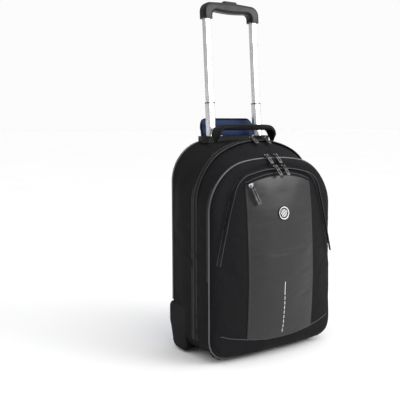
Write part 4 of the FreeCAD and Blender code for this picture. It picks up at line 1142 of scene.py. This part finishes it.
for label, x in (("left", -0.0885), ("right", 0.0885)):
    for part, low, high, body in (("lower", 0.054, 0.173, "middle_section"),
                                  ("upper", 0.177, 0.374, "pocket_front")):
        target = bpy.data.objects["centre_panel_" + part]
        stitches(f"panel_stitches_{label}_{part}", along_panel(x, low, high, target), (0, -1, 0), THREAD,
                 body, slot="panel_leatherette")


# ---------------------------------------------------------------- zips
# Coil zips: two woven tapes with a nylon coil between them, sewn round each opening. The sliders and
# pulls are dark metal, and one on the panel is bright.
def coil_material():
    """Zip tape with a row of nylon coil turns along its raised edge."""
    material, tree, shader, place = start_material("zip_coil", Specular_IOR_Level=0.3)
    run = add(tree, "ShaderNodeSeparateXYZ", {0: tree.nodes.new("ShaderNodeTexCoord").outputs["UV"]})
    turns = math_node(tree, "SINE", math_node(tree, "MULTIPLY", run.outputs[0], 2 * math.pi / 0.0022))
    raised = math_node(tree, "GREATER_THAN", run.outputs[1], 0.5)
    weave = placed(tree, WEAVE, Vector=place, Threads=3000.0)
    turns = add(tree, "ShaderNodeMapRange", {"Value": turns, "From Min": -1.0}).outputs[0]
    coil = math_node(tree, "MULTIPLY", raised, turns)
    tape = mix_colour(tree, weave.outputs["Tone"], (0.004, 0.004, 0.0045), (0.010, 0.010, 0.011))
    paint(tree, shader, coil, tape, (0.020, 0.020, 0.021))
    roughen(tree, shader, coil, 0.75, 0.35)
    relief = math_node(tree, "ADD", coil, math_node(tree, "MULTIPLY", weave.outputs["Height"], 0.3))
    bump(tree, shader, relief, 0.6, 0.0008)
    return material


COIL = coil_material()
MEAN_RADIUS, UV_CENTRE_Z = 0.2, 0.26


def wrap_uv(mesh, stations):
    """UV map of a zip: distance round the outline, and 1 on the coil edge or 0 on the tape."""
    layer = mesh.uv_layers.new(name="zip")
    ends = sorted((stations[0][0], stations[1][0]))
    near, far = ends[0] - 1e-4, ends[1] + 1e-4
    for polygon in mesh.polygons:
        on_coil = 1.0 if near < polygon.center.y < far else 0.0
        for index in polygon.loop_indices:
            co = mesh.vertices[mesh.loops[index].vertex_index].co
            layer.data[index].uv = (math.atan2(co.x, co.z - UV_CENTRE_Z) * MEAN_RADIUS, on_coil)


def zip_band(name, outline, stations, body, *replaced, above):
    """Half a zip above a height: bridged loops given as (y, rise)."""
    bm = banded([(outline(rise), y) for y, rise in stations])
    bisect(bm, (0, 0, above), (0, 0, -1), clear=True)
    made = piece(bm, name, COIL, None)
    thicken(made, 0.0006, 0.0)
    wrap_uv(made.data, stations)
    finish_piece(made, body, *replaced, slot="zip_tape")


def half_zip(parting, side, coil=(0.0024, 0.0022), tape=(0.0085, 0.0011)):
    """Stations of one half of a zip. Coil and tape are each (reach from the parting plane, height)."""
    return [(parting + side * PARTING, coil[1]), (parting + side * coil[0], coil[1]),
            (parting + side * (coil[0] + 0.0002), tape[1]), (parting + side * tape[0], tape[1])]


def main_outline(rise):
    return arch_corners(MAIN_ARCH, rise)


def middle_outline(rise):
    return arch_corners(MIDDLE_ARCH, rise)


MAIN_COIL = (0.0024, 0.0024)
MAIN_ZIP_END, POCKET_ZIP_END = 0.040, 0.214
zip_band("main_zip_back_half", main_outline, half_zip(MAIN_ZIP_Y, 1, MAIN_COIL), "case", "main_zip_rear",
         above=MAIN_ZIP_END)
zip_band("main_zip_front_half", main_outline, half_zip(MAIN_ZIP_Y, -1, MAIN_COIL), "middle_section",
         "middle_section_zips", above=MAIN_ZIP_END)
zip_band("pocket_zip", pocket_corners, half_zip(POCKET_ZIP_Y, -1, (0.0022, 0.0022), (0.0060, 0.0012)),
         "pocket_front", "pocket_zips", above=POCKET_ZIP_END)
zip_band("middle_zip_back_half", middle_outline, half_zip(MIDDLE_ZIP_Y, 1), "middle_section",
         above=FOLD_Z + 0.002)

# Bound edges of the tapes, and the piping round the front.
TAPE_EDGE, CORD_R, PIPING_R = 0.0092, 0.0009, 0.0019
for name, corners, y, radius, material, body, replaced, keep in (
        ("main_zip_back_edge", main_outline(0.0010), MAIN_ZIP_Y + TAPE_EDGE, CORD_R, EDGE_CORD,
         "case", (), (MAIN_ZIP_END, FAR)),
        ("main_zip_front_edge", main_outline(0.0006), MAIN_ZIP_Y - TAPE_EDGE, CORD_R, EDGE_CORD,
         "middle_section", (), (MAIN_ZIP_END, FAR)),
        ("pocket_zip_outer_edge", pocket_corners(0.0012), POCKET_ZIP_Y + 0.0056, 0.0010, EDGE_CORD,
         "front_flap", (), (POCKET_ZIP_END, FAR)),
        ("pocket_zip_inner_edge", pocket_corners(0.0008), POCKET_ZIP_Y - 0.0066, 0.0010, EDGE_CORD,
         "pocket_front", (), (POCKET_ZIP_END, FAR)),
        ("flap_piping", middle_outline(0.0014), MIDDLE_ZIP_Y - 0.0026, PIPING_R, PIPING,
         "front_flap", ("front_piping",), (FOLD_Z, FAR)),
        ("lower_piping", middle_outline(0.0014), MIDDLE_ZIP_Y - 0.0026, PIPING_R, PIPING,
         "middle_section", (), (0.0, FOLD_Z))):
    cord_round(corners, y, radius, name, material, body, *replaced, keep=keep)

SLIDER_METAL = steel_material("slider_metal", (0.085, 0.085, 0.088), (0.160, 0.160, 0.165), (0.28, 0.42))
BRIGHT_METAL = steel_material("bright_metal", (0.75, 0.75, 0.77), (0.92, 0.92, 0.94), (0.12, 0.22))
for name in nodes:
    if name.startswith(("slider_", "pull_")):
        finish_nodes(BRIGHT_METAL if name == "slider_panel" else SLIDER_METAL, name)

bpy.data.objects.remove(front_body)


# ---------------------------------------------------------------- studio
# Wide pale floor under a white sky, soft lights, and the camera.
def floor_material():
    material, tree, shader, place = start_material("studio_floor")
    patches = placed(tree, PATCHES, Vector=place, Scale=2.0)
    paint(tree, shader, patches.outputs["Mask"], (0.90, 0.90, 0.90), (0.92, 0.92, 0.92))
    shader.inputs["Roughness"].default_value = 0.55
    return material


STUDIO = 30.0
bm = bmesh.new()
bmesh.ops.create_grid(bm, x_segments=1, y_segments=1, size=STUDIO)
floor = mesh_object("studio_floor", bm)
dress(floor.data, floor_material())
all_smooth(floor.data)
floor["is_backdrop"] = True

# White sky for the camera, and a dimmer one for the light that it gives.
world = bpy.data.worlds.new("studio")
bpy.context.scene.world = world
world.use_nodes = True
sky = world.node_tree
seen = add(sky, "ShaderNodeMapRange", {"Value": add(sky, "ShaderNodeLightPath").outputs["Is Camera Ray"],
                                       "To Min": 0.42, "To Max": 0.97})
sky.links.new(seen.outputs[0], sky.nodes["Background"].inputs["Strength"])
sky.nodes["Background"].inputs["Color"].default_value = (1.0, 1.0, 1.0, 1.0)
bpy.context.scene.view_settings.view_transform = "Standard"


def soft_sun(name, towards, spread, strength):
    """Wide soft light from a direction."""
    data = bpy.data.lights.new(name, "SUN")
    data.angle = math.radians(spread)
    data.energy = strength
    linked(name, data).rotation_euler = Vector(towards).to_track_quat("Z", "Y").to_euler()


soft_sun("key", (0.42, -0.50, 0.85), 85.0, 2.3)
soft_sun("fill", (-0.60, 0.25, 0.75), 70.0, 0.8)

data = bpy.data.lights.new("soft_box", "AREA")
data.shape = "RECTANGLE"
data.size, data.size_y = 1.1, 0.8
data.energy = 26.0
soft_box = linked("soft_box", data)
soft_box.location = (1.25, -1.75, 1.25)
soft_box.rotation_euler = (soft_box.location - Vector((0.0, -0.1, 0.33))).to_track_quat("Z", "Y").to_euler()

camera_data = bpy.data.cameras.new("camera")
camera = linked("camera", camera_data)
AZIMUTH, PITCH, DISTANCE = math.radians(-36.03), math.radians(4.43), 1.526
TARGET = Vector((-0.04765, 0.006, 0.397))
back = Vector((math.sin(AZIMUTH) * math.cos(PITCH), -math.cos(AZIMUTH) * math.cos(PITCH), math.sin(PITCH)))
camera.location = TARGET + back * DISTANCE
camera.rotation_euler = (-back).to_track_quat("-Z", "Y").to_euler()
camera_data.lens = 60.94
camera_data.sensor_width = 36.0
camera_data.shift_x = -0.0879
camera_data.shift_y = -0.0665
bpy.context.scene.camera = camera

low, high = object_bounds()
